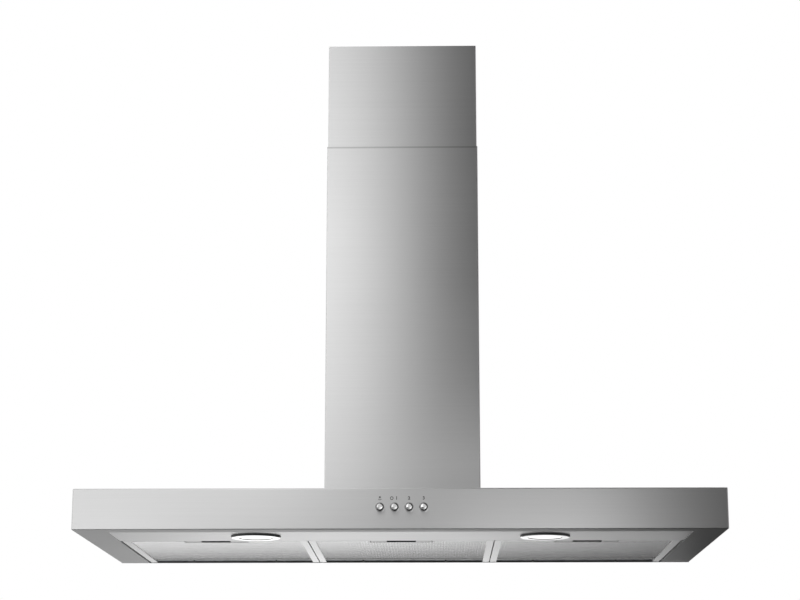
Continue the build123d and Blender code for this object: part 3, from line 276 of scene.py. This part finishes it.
def times(tree, first, second):
    """The product of two colours."""
    node = add(tree, "ShaderNodeMix", data_type="RGBA", blend_type="MULTIPLY")
    node.inputs[0].default_value = 1.0
    join(tree, first, node.inputs[6])
    join(tree, second, node.inputs[7])
    return node.outputs[2]


def mix_shaders(tree, share, first, second, output):
    """Two shaders by the second one's share, as the surface of the output."""
    node = add(tree, "ShaderNodeMixShader")
    join(tree, share, node.inputs[0])
    join(tree, first, node.inputs[1])
    join(tree, second, node.inputs[2])
    join(tree, node.outputs[0], output.inputs["Surface"])


def bumped(tree, height, strength, distance):
    """A normal that follows a height."""
    node = add(tree, "ShaderNodeBump", in_Strength=strength, in_Distance=distance)
    join(tree, height, node.inputs["Height"])
    return node.outputs["Normal"]


def principled(tree, output, **values):
    """The main shader with its values set, joined to the output."""
    shader = add(tree, "ShaderNodeBsdfPrincipled")
    for key, value in values.items():
        shader.inputs[key.replace("_", " ")].default_value = value
    join(tree, shader.outputs["BSDF"], output.inputs["Surface"])
    return shader


# ======== Materials ========


def grain_vector(tree, fine, along):
    """Coordinates that run slowly along the grain: X on most faces, Y on those that face sideways."""
    lengthwise = object_coords(tree, (along, fine, fine))
    sideways = object_coords(tree, (fine, along, fine))
    geometry = add(tree, "ShaderNodeNewGeometry")
    size = calculate(tree, "ABSOLUTE", axes(tree, geometry.outputs["Normal"])["X"])
    pick = add(tree, "ShaderNodeMix", data_type="VECTOR")
    join(tree, calculate(tree, "GREATER_THAN", size, SIDEWAYS), pick.inputs[0])
    join(tree, lengthwise, pick.inputs[4])
    join(tree, sideways, pick.inputs[5])
    return pick.outputs[1]


def brushed_steel(name, tone, roughness=0.30, anisotropy=0.75, seam_shade_from=None):
    """Stainless sheet with a fine straight grain, streaks and soft clouding, with painted shade above a given
    height.
    """
    material, tree, output = new_material(name)
    shader = principled(tree, output, Metallic=1.0, Anisotropic=anisotropy)
    hairs = noise(tree, grain_vector(tree, *HAIR_GRAIN), detail=2.0)
    streaks = noise(tree, grain_vector(tree, *STREAK_GRAIN), detail=4.0)
    clouds = noise(tree, object_coords(tree, 3.0), detail=2.0)
    grain = calculate(tree, "MULTIPLY_ADD", streaks, 0.5, spread(tree, hairs, 0.0, 0.5))
    dark, light = (grey(tone * shade) for shade in GRAIN_SHADES)
    colour = tone_between(tree, grain, dark, light)
    # painted shade: the top strip of the lower cover is darker, standing in for the shade at its seam with
    # the upper cover
    if seam_shade_from:
        above = calculate(tree, "GREATER_THAN", axes(tree, object_coords(tree, 1.0))["Z"], seam_shade_from)
        colour = times(tree, colour, tone_between(tree, above, grey(1.0), grey(SEAM_PAINTED_SHADE)))
    join(tree, colour, shader.inputs["Base Color"])
    join(tree, spread(tree, clouds, roughness * 0.9, roughness * 1.12), shader.inputs["Roughness"])
    join(tree, bumped(tree, grain, *GRAIN_BUMP), shader.inputs["Normal"])
    # Highlights stretch across the grain: along Z, and along Y on level faces.
    across = add(tree, "ShaderNodeCombineXYZ", in_X=0.0, in_Y=0.05, in_Z=1.0)
    join(tree, across.outputs["Vector"], shader.inputs["Tangent"])
    return material


def polished_chrome(name, low, high):
    """Polished plating with a barely uneven surface."""
    material, tree, output = new_material(name)
    shader = principled(tree, output, Metallic=1.0)
    haze = noise(tree, object_coords(tree, 160.0))
    join(tree, tone_between(tree, haze, grey(low), grey(high)), shader.inputs["Base Color"])
    join(tree, spread(tree, haze, 0.05, 0.11), shader.inputs["Roughness"])
    join(tree, bumped(tree, haze, 0.03, 0.1 * MM), shader.inputs["Normal"])
    return material


def galvanised_steel():
    """Zinc-coated sheet with its spangle."""
    material, tree, output = new_material("galvanised_steel")
    shader = principled(tree, output, Metallic=1.0)
    spangle = add(tree, "ShaderNodeTexVoronoi", in_Scale=95.0)
    join(tree, object_coords(tree, 1.0), spangle.inputs["Vector"])
    flake = add(tree, "ShaderNodeSeparateColor")
    join(tree, spangle.outputs["Color"], flake.inputs["Color"])
    tint = tone_between(tree, flake.outputs[0], (0.40, 0.42, 0.44, 1), (0.56, 0.58, 0.60, 1))
    join(tree, tint, shader.inputs["Base Color"])
    join(tree, spread(tree, flake.outputs[1], 0.34, 0.52), shader.inputs["Roughness"])
    join(tree, bumped(tree, flake.outputs[0], 0.08, 0.1 * MM), shader.inputs["Normal"])
    return material


def lighter(colour, share, lift):
    """A colour scaled by a share and lifted."""
    return tuple(min(channel * share + lift, 1.0) for channel in colour[:3]) + (1.0,)


def moulded_plastic(name, colour, roughness=0.42, texture=900.0):
    """A moulded part with a fine leathery texture."""
    material, tree, output = new_material(name)
    shader = principled(tree, output, Metallic=0.0)
    pebble = noise(tree, object_coords(tree, texture), detail=2.0)
    wide = noise(tree, object_coords(tree, 14.0))
    join(tree, tone_between(tree, wide, colour, lighter(colour, 1.25, 0.004)), shader.inputs["Base Color"])
    join(tree, spread(tree, wide, roughness * 0.88, roughness * 1.12), shader.inputs["Roughness"])
    join(tree, bumped(tree, pebble, 0.25, 0.08 * MM), shader.inputs["Normal"])
    return material


def painted_metal(name, colour, roughness=0.5):
    """Powder coat with a slight orange peel."""
    material, tree, output = new_material(name)
    shader = principled(tree, output, Metallic=0.0)
    peel = noise(tree, object_coords(tree, 420.0), detail=1.5)
    join(tree, tone_between(tree, peel, colour, lighter(colour, 1.2, 0.003)), shader.inputs["Base Color"])
    join(tree, spread(tree, peel, roughness * 0.9, roughness * 1.1), shader.inputs["Roughness"])
    join(tree, bumped(tree, peel, 0.2, 0.1 * MM), shader.inputs["Normal"])
    return material


def weave(tree):
    """The small diamonds in which the layers of the filter's sheet line up, from 0 to 1."""
    parts = axes(tree, object_coords(tree, 1.0))
    waves = []
    for axis, pitch in zip("XY", WEAVE_PITCH):
        turn = calculate(tree, "MULTIPLY", parts[axis], 2 * math.pi / pitch)
        waves.append(calculate(tree, "COSINE", turn))
    return spread(tree, calculate(tree, "ADD", *waves), 0.0, 1.0, -2.0, 2.0)


def aluminium(name, tone, roughness):
    """Bare aluminium with slight rolling marks, and the weave of its layers."""
    material, tree, output = new_material(name)
    shader = principled(tree, output, Metallic=1.0)
    marks = noise(tree, object_coords(tree, (220.0, 900.0, 220.0)), detail=3.0)
    rolled = tone_between(tree, marks, grey(tone * 0.9), grey(tone * 1.06))
    woven = tone_between(tree, weave(tree), grey(1.0 - WEAVE_DEPTH), grey(1.0 + WEAVE_DEPTH))
    join(tree, times(tree, rolled, woven), shader.inputs["Base Color"])
    join(tree, spread(tree, marks, roughness * 0.85, roughness * 1.15), shader.inputs["Roughness"])
    join(tree, bumped(tree, marks, 0.1, 0.1 * MM), shader.inputs["Normal"])
    return material


def drawn_wire():
    """Spring and guard wire, drawn and lightly oiled."""
    material, tree, output = new_material("drawn_wire")
    shader = principled(tree, output, Metallic=1.0)
    marks = noise(tree, object_coords(tree, 500.0))
    join(tree, tone_between(tree, marks, grey(0.38), grey(0.55)), shader.inputs["Base Color"])
    join(tree, spread(tree, marks, 0.22, 0.36), shader.inputs["Roughness"])
    return material


def lit_glass():
    """Frosted glass with the lamp behind it."""
    material, tree, output = new_material("lit_glass")
    shader = principled(tree, output, Metallic=0.0, Roughness=0.28)
    frost = noise(tree, object_coords(tree, 1200.0))
    join(tree, tone_between(tree, frost, grey(0.86), grey(0.93)), shader.inputs["Base Color"])
    shader.inputs["Emission Color"].default_value = (1.0, 0.985, 0.96, 1.0)
    shader.inputs["Emission Strength"].default_value = 0.7
    join(tree, bumped(tree, frost, 0.15, 0.1 * MM), shader.inputs["Normal"])
    return material


def lamp_ceramic():
    """White ceramic and quartz of the capsule bulb."""
    material, tree, output = new_material("lamp_ceramic")
    shader = principled(tree, output, Metallic=0.0)
    glaze = noise(tree, object_coords(tree, 60.0))
    colour = tone_between(tree, glaze, (0.78, 0.77, 0.74, 1), (0.86, 0.85, 0.83, 1))
    join(tree, colour, shader.inputs["Base Color"])
    join(tree, spread(tree, glaze, 0.18, 0.30), shader.inputs["Roughness"])
    return material


def motor_iron():
    """Laminations across the motor's axis, with varnish."""
    material, tree, output = new_material("motor_iron")
    shader = principled(tree, output, Metallic=0.9)
    bands = add(tree, "ShaderNodeTexWave", wave_type="BANDS", bands_direction="X", in_Scale=260.0)
    bands.inputs["Distortion"].default_value = 0.4
    join(tree, object_coords(tree, 1.0), bands.inputs["Vector"])
    tint = tone_between(tree, bands.outputs["Fac"], (0.14, 0.12, 0.10, 1), (0.32, 0.29, 0.26, 1))
    join(tree, tint, shader.inputs["Base Color"])
    join(tree, spread(tree, bands.outputs["Fac"], 0.35, 0.5), shader.inputs["Roughness"])
    join(tree, bumped(tree, bands.outputs["Fac"], 0.3, 0.1 * MM), shader.inputs["Normal"])
    return material


def printed_ink():
    """Dark grey screen print."""
    material, tree, output = new_material("printed_ink")
    shader = principled(tree, output, Metallic=0.0, Roughness=0.55)
    grainy = noise(tree, object_coords(tree, 2200.0))
    join(tree, tone_between(tree, grainy, grey(0.035), grey(0.055)), shader.inputs["Base Color"])
    return material


# ======== Studio ========


def glow(name, stops):
    """Light on one side only, whose brightness changes with x."""
    x = stops[0][0], stops[-1][0]
    material, tree, output = new_material(name + "_glow")
    along = spread(tree, axes(tree, object_coords(tree, 1.0))["X"], 0.0, 1.0, *x)
    ramp = add(tree, "ShaderNodeValToRGB")
    join(tree, along, ramp.inputs["Fac"])
    points = ramp.color_ramp.elements
    top = max(level for _, level in stops)
    for index, (place, level) in enumerate(stops):
        position = (place - x[0]) / (x[1] - x[0])
        point = points[index] if index < 2 else points.new(position)
        point.position = position
        point.color = grey(level / top)
    light = add(tree, "ShaderNodeEmission", in_Strength=top)
    join(tree, ramp.outputs["Color"], light.inputs["Color"])
    back = add(tree, "ShaderNodeBsdfTransparent")
    side = add(tree, "ShaderNodeNewGeometry")
    mix_shaders(tree, side.outputs["Backfacing"], light.outputs[0], back.outputs[0], output)
    return material


def soft_box(name, corners, stops):
    """A flat soft box that only shiny surfaces see."""
    mesh = bpy.data.meshes.new(name)
    mesh.from_pydata(corners, [], [(0, 1, 2, 3)])
    mesh.materials.append(glow(name, stops))
    thing = object_from(name, mesh)
    thing.visible_camera = False
    thing.visible_diffuse = False
    thing.visible_shadow = False


def card(name, near, far, stops):
    """A soft box between two edges along X, each given by its y and z, whose order says which side shines."""
    x = stops[0][0], stops[-1][0]
    soft_box(name, [(x[0], *near), (x[1], *near), (x[1], *far), (x[0], *far)], stops)


def floor():
    """A pale floor far below, which fades into the white and is clear from underneath."""
    mesh = bpy.data.meshes.new("floor")
    reach = FLOOR_SIZE / 2
    corners = [(-reach, -reach, FLOOR_HEIGHT), (reach, -reach, FLOOR_HEIGHT)]
    corners += [(reach, reach, FLOOR_HEIGHT), (-reach, reach, FLOOR_HEIGHT)]
    mesh.from_pydata(corners, [], [(0, 1, 2, 3)])
    thing = object_from("floor", mesh)
    material, tree, output = new_material("pale_floor")
    paint = principled(tree, output, Roughness=0.7, Base_Color=grey(0.92))
    length = add(tree, "ShaderNodeVectorMath", operation="LENGTH")
    join(tree, object_coords(tree, (1.0, 1.0, 0.0)), length.inputs[0])
    fade = spread(tree, length.outputs["Value"], 0.0, 1.0, *FLOOR_FADE)
    side = add(tree, "ShaderNodeNewGeometry")
    clear = calculate(tree, "MAXIMUM", fade, side.outputs["Backfacing"])
    hole = add(tree, "ShaderNodeBsdfTransparent")
    mix_shaders(tree, clear, paint.outputs["BSDF"], hole.outputs[0], output)
    mesh.materials.append(material)


def world():
    """White where the camera or a shiny surface sees it, and plain soft light elsewhere."""
    scene_world = bpy.data.worlds.new("studio")
    bpy.context.scene.world = scene_world
    scene_world.use_nodes = True
    tree = scene_world.node_tree
    tree.nodes.clear()
    output = tree.nodes.new("ShaderNodeOutputWorld")
    path = add(tree, "ShaderNodeLightPath")
    seen = calculate(tree, "MAXIMUM", path.outputs["Is Camera Ray"], path.outputs["Is Glossy Ray"])
    shown = calculate(tree, "MAXIMUM", seen, path.outputs["Is Transmission Ray"])
    soft = add(tree, "ShaderNodeBackground", in_Color=grey(1.0), in_Strength=WORLD_LEVEL)
    white = add(tree, "ShaderNodeBackground", in_Color=grey(1.0), in_Strength=WORLD_WHITE)
    mix_shaders(tree, shown, soft.outputs[0], white.outputs[0], output)


def area_light(name, place, aim, power):
    """A rectangular lamp that looks at a point."""
    data = bpy.data.lights.new(name, "AREA")
    data.shape = "RECTANGLE"
    data.size, data.size_y = LIGHT_SIZE
    data.energy = power
    lamp = object_from(name, data)
    lamp.location = place
    lamp.rotation_euler = (Vector(aim) - Vector(place)).to_track_quat("-Z", "Y").to_euler()


def camera():
    """The camera below the hood's middle, looking up."""
    data = bpy.data.cameras.new("camera")
    data.lens = CAMERA_LENS
    eye = object_from("camera", data)
    eye.location = CAMERA_PLACE
    eye.rotation_euler = Euler((math.pi / 2 + CAMERA_PITCH, 0.0, CAMERA_TURN))
    bpy.context.scene.camera = eye


def studio():
    """The white surroundings, the floor, the soft boxes and the lamps."""
    world()
    floor()
    # Boxes in front of the hood start at their upper edge, so that they shine back at it.
    upright = (
        ("low_card", FRONT_CARD_Y, LOW_CARD_Z[::-1], LOW_CARD_STOPS),
        ("front_card", FRONT_CARD_Y, FRONT_CARD_Z[::-1], FRONT_CARD_STOPS),
        ("back_card", BACK_CARD_Y, BACK_CARD_Z, BACK_CARD_STOPS),
        ("shade_card", BACK_CARD_Y, SHADE_CARD_Z, SHADE_CARD_STOPS),
        ("mesh_card", BACK_CARD_Y, MESH_CARD_Z, MESH_CARD_STOPS),
    )
    for name, y, z, stops in upright:
        card(name, (y, z[0]), (y, z[1]), stops)
    for index, (low, high, share) in enumerate(TALL_CARD_BANDS):
        stops = [(x, level * share) for x, level in TALL_CARD_STOPS]
        card(f"tall_card_{index + 1}", (FRONT_CARD_Y, high), (FRONT_CARD_Y, low), stops)
    flat = (("flat_card", FLAT_CARD_Y, FLAT_CARD_STOPS), ("dark_floor", DARK_FLOOR_Y, DARK_FLOOR_STOPS))
    for name, y, stops in flat:
        card(name, (y[0], CARD_FLOOR), (y[1], CARD_FLOOR), stops)
    y, z = (FRONT_CARD_Y, BACK_CARD_Y), (CARD_FLOOR, TALL_CARD_BANDS[-1][1])
    corners = [(RIGHT_CARD_X, y[a], z[b]) for a, b in ((1, 0), (0, 0), (0, 1), (1, 1))]
    soft_box("right_card", corners, ((0.0, RIGHT_CARD_LEVEL), (2.0, RIGHT_CARD_LEVEL)))
    area_light("key", *KEY_LIGHT)
    area_light("fill", *FILL_LIGHT)


# ======== Pieces ========


def piece(name, mesh, body, slot_name, *materials):
    """An object with its materials, riding on a body of the hood."""
    thing = object_from(name, mesh)
    for material in materials:
        mesh.materials.append(material)
    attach(thing, body)
    return thing


def mesh_from(name, verts, faces, smooth=False):
    """A mesh of points and faces."""
    mesh = bpy.data.meshes.new(name)
    mesh.from_pydata(verts, [], faces)
    if smooth:
        mesh.polygons.foreach_set("use_smooth", [True] * len(mesh.polygons))
    mesh.update()
    return mesh


def strand(verts, faces, y_row, flip, x_span, z):
    """One zigzag strand of expanded sheet along X, of a flat tilted section."""
    half_pitch = STRAND_PITCH / 2
    count = int((x_span[1] - x_span[0]) / half_pitch)
    step = (x_span[1] - x_span[0]) / count
    swing = STRAND_ROW / 2
    lean = STRAND_TILT * STRAND_WIDTH
    first = len(verts)
    for index in range(count + 1):
        side = 1 if (index + flip) % 2 else -1
        x, y = x_span[0] + index * step, y_row + side * swing / 2
        half = STRAND_WIDTH / 2
        verts += [(x, y - half, z - lean / 2), (x, y + half, z + lean / 2)]
        top = z + STRAND_THICKNESS
        verts += [(x, y + half, top + lean / 2), (x, y - half, top - lean / 2)]
    for index in range(count):
        a, b = first + 4 * index, first + 4 * index + 4
        for k in range(4):
            m = (k + 1) % 4
            faces.append((a + k, b + k, b + m, a + m))
    end = first + 4 * count
    faces.append((first, first + 1, first + 2, first + 3))
    faces.append((end + 3, end + 2, end + 1, end))


def filter_mesh(number, bright, dull):
    """The filter's pad: a fine expanded sheet below, over crimped layers that close it off behind."""
    low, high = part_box(f"filter_media_{number}")
    cup_low, cup_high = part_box(f"latch_cup_{number}")
    verts, faces = [], []
    rows = int((high.y - low.y) / STRAND_ROW)
    for row in range(rows):
        y = low.y + STRAND_ROW * (row + 0.5)
        if y < cup_high.y + STRAND_ROW:
            spans = [(low.x, cup_low.x - NET_GAP), (cup_high.x + NET_GAP, high.x)]
        else:
            spans = [(low.x, high.x)]
        for x_span in spans:
            strand(verts, faces, y, row % 2, x_span, low.z + NET_LIFT)
    net_faces = len(faces)
    crimped_sheet(verts, faces, low, high, cup_low, cup_high)
    mesh = mesh_from(f"filter_mesh_{number}", verts, faces)
    thing = piece(f"filter_mesh_{number}", mesh, f"filter_{number}", "aluminium_mesh", bright, dull)
    for index in range(net_faces, len(faces)):
        mesh.polygons[index].material_index = 1
    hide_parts(f"filter_media_{number}")


def crimped_sheet(verts, faces, low, high, cup_low, cup_high):
    """The layers behind the net, one closed sheet with a crimp across it, cut round the latch cup."""
    columns = int((high.x - low.x) / BACKING_STEP)
    rows = int((high.y - low.y) / BACKING_STEP)
    z0 = low.z + BACKING_LIFT
    top = high.z - BACKING_DROP
    grid = {}

    def inside(i, j):
        x = low.x + (i + 0.5) * (high.x - low.x) / columns
        y = low.y + (j + 0.5) * (high.y - low.y) / rows
        beside = x < cup_low.x - BACKING_GAP or x > cup_high.x + BACKING_GAP
        return beside or y > cup_high.y + BACKING_GAP

    def corner(i, j, upper):
        key = i, j, upper
        if key not in grid:
            x = low.x + i * (high.x - low.x) / columns
            y = low.y + j * (high.y - low.y) / rows
            crimp = BACKING_CRIMP * (1 if (i + j) % 2 else -1)
            grid[key] = len(verts)
            verts.append((x, y, top if upper else z0 + crimp))
        return grid[key]

    for i in range(columns):
        for j in range(rows):
            if not inside(i, j):
                continue
            ring = [(i, j), (i + 1, j), (i + 1, j + 1), (i, j + 1)]
            faces.append(tuple(corner(a, b, False) for a, b in reversed(ring)))
            faces.append(tuple(corner(a, b, True) for a, b in ring))
            across = ((i, j - 1), (i + 1, j), (i, j + 1), (i - 1, j))
            for k, (ni, nj) in enumerate(across):
                if 0 <= ni < columns and 0 <= nj < rows and inside(ni, nj):
                    continue
                a, b = ring[k], ring[(k + 1) % 4]
                faces.append((corner(*a, False), corner(*b, False), corner(*b, True), corner(*a, True)))


def lamp_glass(side, glass):
    """The lamp's glass: a shallow dome with moulded rings on its lower face and a flat back."""
    low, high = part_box(f"lamp_lens_{side}")
    middle = (low + high) / 2
    radius = (high.x - low.x) / 2
    profile = []
    steps = LENS_RINGS * LENS_RING_STEPS
    for index in range(steps + 1):
        r = radius * index / steps
        share = index / steps
        wave = 0.5 - 0.5 * math.cos(2 * math.pi * LENS_RINGS * share)
        rib = LENS_RIB * wave * (1 - share**LENS_RIB_FADE)
        dome = LENS_DOME * (1 - min(share, LENS_RIM) ** 2)
        if share > LENS_RIM:
            dome *= (1 - share) / (1 - LENS_RIM)
        profile.append((r, low.z - dome - rib))
    profile.append((radius, high.z))
    verts = [(middle.x, middle.y, profile[0][1])]
    for r, z in profile[1:]:
        for k in range(LENS_SEGMENTS):
            turn = 2 * math.pi * k / LENS_SEGMENTS
            verts.append((middle.x + r * math.cos(turn), middle.y + r * math.sin(turn), z))
    verts.append((middle.x, middle.y, high.z))
    faces = [(0, 1 + (k + 1) % LENS_SEGMENTS, 1 + k) for k in range(LENS_SEGMENTS)]
    for ring in range(len(profile) - 2):
        start = 1 + ring * LENS_SEGMENTS
        for k in range(LENS_SEGMENTS):
            m = (k + 1) % LENS_SEGMENTS
            faces.append((start + k, start + m, start + LENS_SEGMENTS + m, start + LENS_SEGMENTS + k))
    last = 1 + (len(profile) - 2) * LENS_SEGMENTS
    faces += [(last + k, last + (k + 1) % LENS_SEGMENTS, len(verts) - 1) for k in range(LENS_SEGMENTS)]
    mesh = mesh_from(f"lamp_glass_{side}", verts, faces, smooth=True)
    thing = piece(f"lamp_glass_{side}", mesh, "hood", "frosted_glass", glass)
    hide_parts(f"lamp_lens_{side}")


def mark(name, text, x, z, front, ink):
    """A printed number on the front, as thin raised ink."""
    curve = bpy.data.curves.new(name, "FONT")
    curve.body = text
    curve.size = MARK_HEIGHT / FIGURE_SHARE
    curve.align_x = "CENTER"
    curve.align_y = "CENTER"
    curve.extrude = MARK_THICKNESS / 2
    curve.offset = MARK_WEIGHT
    curve.resolution_u = 6
    thing = object_from(name, curve)
    thing.location = (x, front - MARK_THICKNESS / 2, z)
    thing.rotation_euler = (math.pi / 2, 0, 0)
    curve.materials.append(ink)
    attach(thing, "hood")


def band(verts, faces, centre, front, radii, turns, count=32):
    """An arc of ink with a flat section, about a centre given by its x and z."""
    first = len(verts)
    for k in range(count + 1):
        turn = turns[0] + (turns[1] - turns[0]) * k / count
        for r in radii:
            for depth in (front - MARK_THICKNESS, front):
                verts.append((centre[0] + r * math.cos(turn), depth, centre[1] + r * math.sin(turn)))
    for k in range(count):
        a, b = first + 4 * k, first + 4 * k + 4
        faces.extend([(a, b, b + 2, a + 2), (a + 3, b + 3, b + 1, a + 1)])
        faces.extend([(a + 1, b + 1, b, a), (a + 2, b + 2, b + 3, a + 3)])
    end = first + 4 * count
    if turns != FULL_TURN:
        faces.append((first, first + 2, first + 3, first + 1))
        faces.append((end + 1, end + 3, end + 2, end))


def drawn_mark(name, verts, faces, ink):
    """A sign made of bands, with their seams closed."""
    mesh = mesh_from(name, verts, faces)
    shape = bmesh.new()
    shape.from_mesh(mesh)
    bmesh.ops.remove_doubles(shape, verts=shape.verts, dist=1e-6)
    bmesh.ops.recalc_face_normals(shape, faces=shape.faces)
    shape.to_mesh(mesh)
    shape.free()
    piece(name, mesh, "hood", None, ink)


def lamp_mark(x, z, front, ink):
    """The lamp sign: a dot over a shallow bowl."""
    verts, faces = [], []
    band(verts, faces, (x, z), front, LAMP_BOWL, BOWL_TURN)
    band(verts, faces, (x, z + LAMP_DOT_RAISE), front, LAMP_DOT, FULL_TURN)
    drawn_mark("mark_lamp", verts, faces, ink)


def off_mark(x, z, front, ink):
    """The off sign, a plain ring."""
    verts, faces = [], []
    band(verts, faces, (x, z), front, OFF_RING, FULL_TURN)
    drawn_mark("mark_off", verts, faces, ink)


def marks(ink):
    """The signs over the buttons: a lamp, off and 1, 2 and 3."""
    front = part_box("canopy_shell")[0].y
    places = []
    for name in BUTTONS:
        low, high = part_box(f"button_{name}")
        places.append(((low.x + high.x) / 2, (low.z + high.z) / 2))
    z = places[0][1] + MARK_RAISE
    lamp_mark(places[0][0], z, front, ink)
    off_mark(places[1][0] - OFF_MARK_STEP, z, front, ink)
    mark("mark_1", "1", places[1][0] + ONE_MARK_STEP, z, front, ink)
    mark("mark_2", "2", places[2][0], z, front, ink)
    mark("mark_3", "3", places[3][0], z, front, ink)


def paint_faces(name, finish, chosen):
    """A second finish for those faces of a CAD node whose middle and normal a test chooses."""
    thing = nodes[name]
    thing.data.materials.append(finish)
    thing.material_slots[-1].link = "OBJECT"
    thing.material_slots[-1].material = finish
    turn = thing.matrix_world.to_3x3()
    for polygon in thing.data.polygons:
        if chosen(thing.matrix_world @ polygon.center, (turn @ polygon.normal).normalized()):
            polygon.material_index = len(thing.material_slots) - 1


def paint_bezel_shade(name, dark):
    """The upright walls of a lamp's bezel, painted black outside and round the bright glass as painted shade.
    """

    def upright(place, normal):
        return abs(normal.z) < BEZEL_WALL_SLOPE

    paint_faces(name, dark, upright)


def flanges_with_edge_shade(finish, edge_shade):
    """The turned-in bottom flanges of the canopy, less polished than the panel, with inner edges painted
    black as painted shade.
    """
    low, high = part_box("canopy_shell")

    def underside(place, normal):
        return normal.z < -SQUARE_ON

    def shaded_inner_edge(place, normal):
        inside = abs(place.x) < high.x - FLANGE_MARGIN and place.y > low.y + FLANGE_MARGIN
        return inside and abs(normal.z) < UPRIGHT and place.z < low.z + FLANGE_SHEET

    paint_faces("canopy_shell", finish, underside)
    paint_faces("canopy_shell", edge_shade, shaded_inner_edge)


def paint_flank_reflection(name, finish):
    """The rounded edge and the side of a button, in a darker chrome as painted dark reflection."""

    def flank(place, normal):
        return normal.y > -FLANK_SLOPE

    paint_faces(name, finish, flank)


def paint_latch_slot_shade(name, cup_name, dark):
    """The tab that a fingertip pulls, painted black inside the latch cup's opening as painted shade in the
    recess.
    """
    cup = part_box(cup_name)

    def shaded_tab(place, normal):
        return normal.y < -SQUARE_ON and place.y > cup[0].y + LATCH_SHADE_FROM

    paint_faces(name, dark, shaded_tab)


def dress(finishes):
    """Gives every CAD node its material, by the start of its name."""
    for name, thing in nodes.items():
        match = max((start for start in finishes if name.startswith(start)), key=len)
        for material_slot in thing.material_slots:
            material_slot.link = "OBJECT"
            material_slot.material = finishes[match]


def node_finishes(steel, black, wire, chrome, net, glass):
    """The material of every CAD node, by the start of its name, with those that other pieces share."""
    iron = motor_iron()
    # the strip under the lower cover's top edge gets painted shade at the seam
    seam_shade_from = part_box("lower_chimney")[1].z - SEAM_SHADE_HEIGHT
    return {
        "": galvanised_steel(),
        "canopy_shell": steel,
        "lower_chimney": brushed_steel("seam_shaded_steel", STEEL_TONE, seam_shade_from=seam_shade_from),
        "upper_chimney": steel,
        "light_panel": steel,
        "filter_frame": brushed_steel("frame_steel", 0.66),
        # painted shade: the latch plate's steel is a darker copy, for the shade on the recessed plate
        "latch_plate": brushed_steel("latch_steel_painted_shade", 0.42),
        # painted shade: the support rail is black where the pocket behind the filters lies in shade
        "filter_support_rail": painted_metal("black_enamel", (0.012, 0.012, 0.012, 1)),
        "filter_media": net,
        "button_": chrome,
        "button_spring": wire,
        "latch_spring": wire,
        "lamp_bezel": polished_chrome("satin_chrome", 0.40, 0.46),
        "lamp_lens": glass,
        "lamp_bulb": lamp_ceramic(),
        "switch_block": black,
        "scroll": black,
        "impeller": moulded_plastic("fan_plastic", (0.05, 0.05, 0.052, 1), 0.38),
        "terminal_box": black,
        "outlet_collar": black,
        "check_flap": moulded_plastic("flap_plastic", (0.07, 0.07, 0.072, 1), 0.4),
        "latch_cup": black,
        "inlet_guard": wire,
        "motor_housing": painted_metal("motor_lacquer", (0.02, 0.02, 0.022, 1), 0.35),
        "motor_stator": iron,
        "motor_rotor": iron,
        "motor_bearings": wire,
        "motor_capacitor": moulded_plastic("capacitor_case", (0.70, 0.70, 0.68, 1), 0.35),
        "lamp_supply": moulded_plastic("supply_case", (0.62, 0.62, 0.60, 1), 0.4),
        "wiring_loom": moulded_plastic("wire_sheath", (0.03, 0.03, 0.031, 1), 0.5),
    }


def build():
    """The whole scene, with the pieces that stand in for plain solids."""
    camera()
    studio()
    steel = brushed_steel("brushed_steel", STEEL_TONE)
    chrome = polished_chrome("polished_chrome", 0.78, 0.86)
    black = moulded_plastic("black_plastic", (0.018, 0.018, 0.019, 1))
    net = aluminium("filter_net", 0.80, 0.22)
    glass = lit_glass()
    dress(node_finishes(steel, black, drawn_wire(), chrome, net, glass))

    flange_steel = brushed_steel("flange_steel", STEEL_TONE, roughness=0.42, anisotropy=0.9)
    # black on the flanges' inner edges is painted shade in the gaps
    flanges_with_edge_shade(flange_steel, black)
    backing = aluminium("filter_backing", 0.85, 0.45)
    for number in (1, 2, 3):
        filter_mesh(number, net, backing)
        # black on the latch tab is painted shade in the slot
        paint_latch_slot_shade(f"latch_plate_{number}", f"latch_cup_{number}", black)
    for side in ("left", "right"):
        lamp_glass(side, glass)
        # black on the bezel walls is painted shade
        paint_bezel_shade(f"lamp_bezel_{side}", black)
    # a darker copy of the chrome, as painted dark reflection on the button flanks
    flank_painted_reflection = polished_chrome("flank_painted_reflection", 0.22, 0.26)
    for name in BUTTONS:
        paint_flank_reflection(f"button_{name}", flank_painted_reflection)
    marks(printed_ink())
    bpy.context.scene.view_settings.view_transform = "Standard"


build()
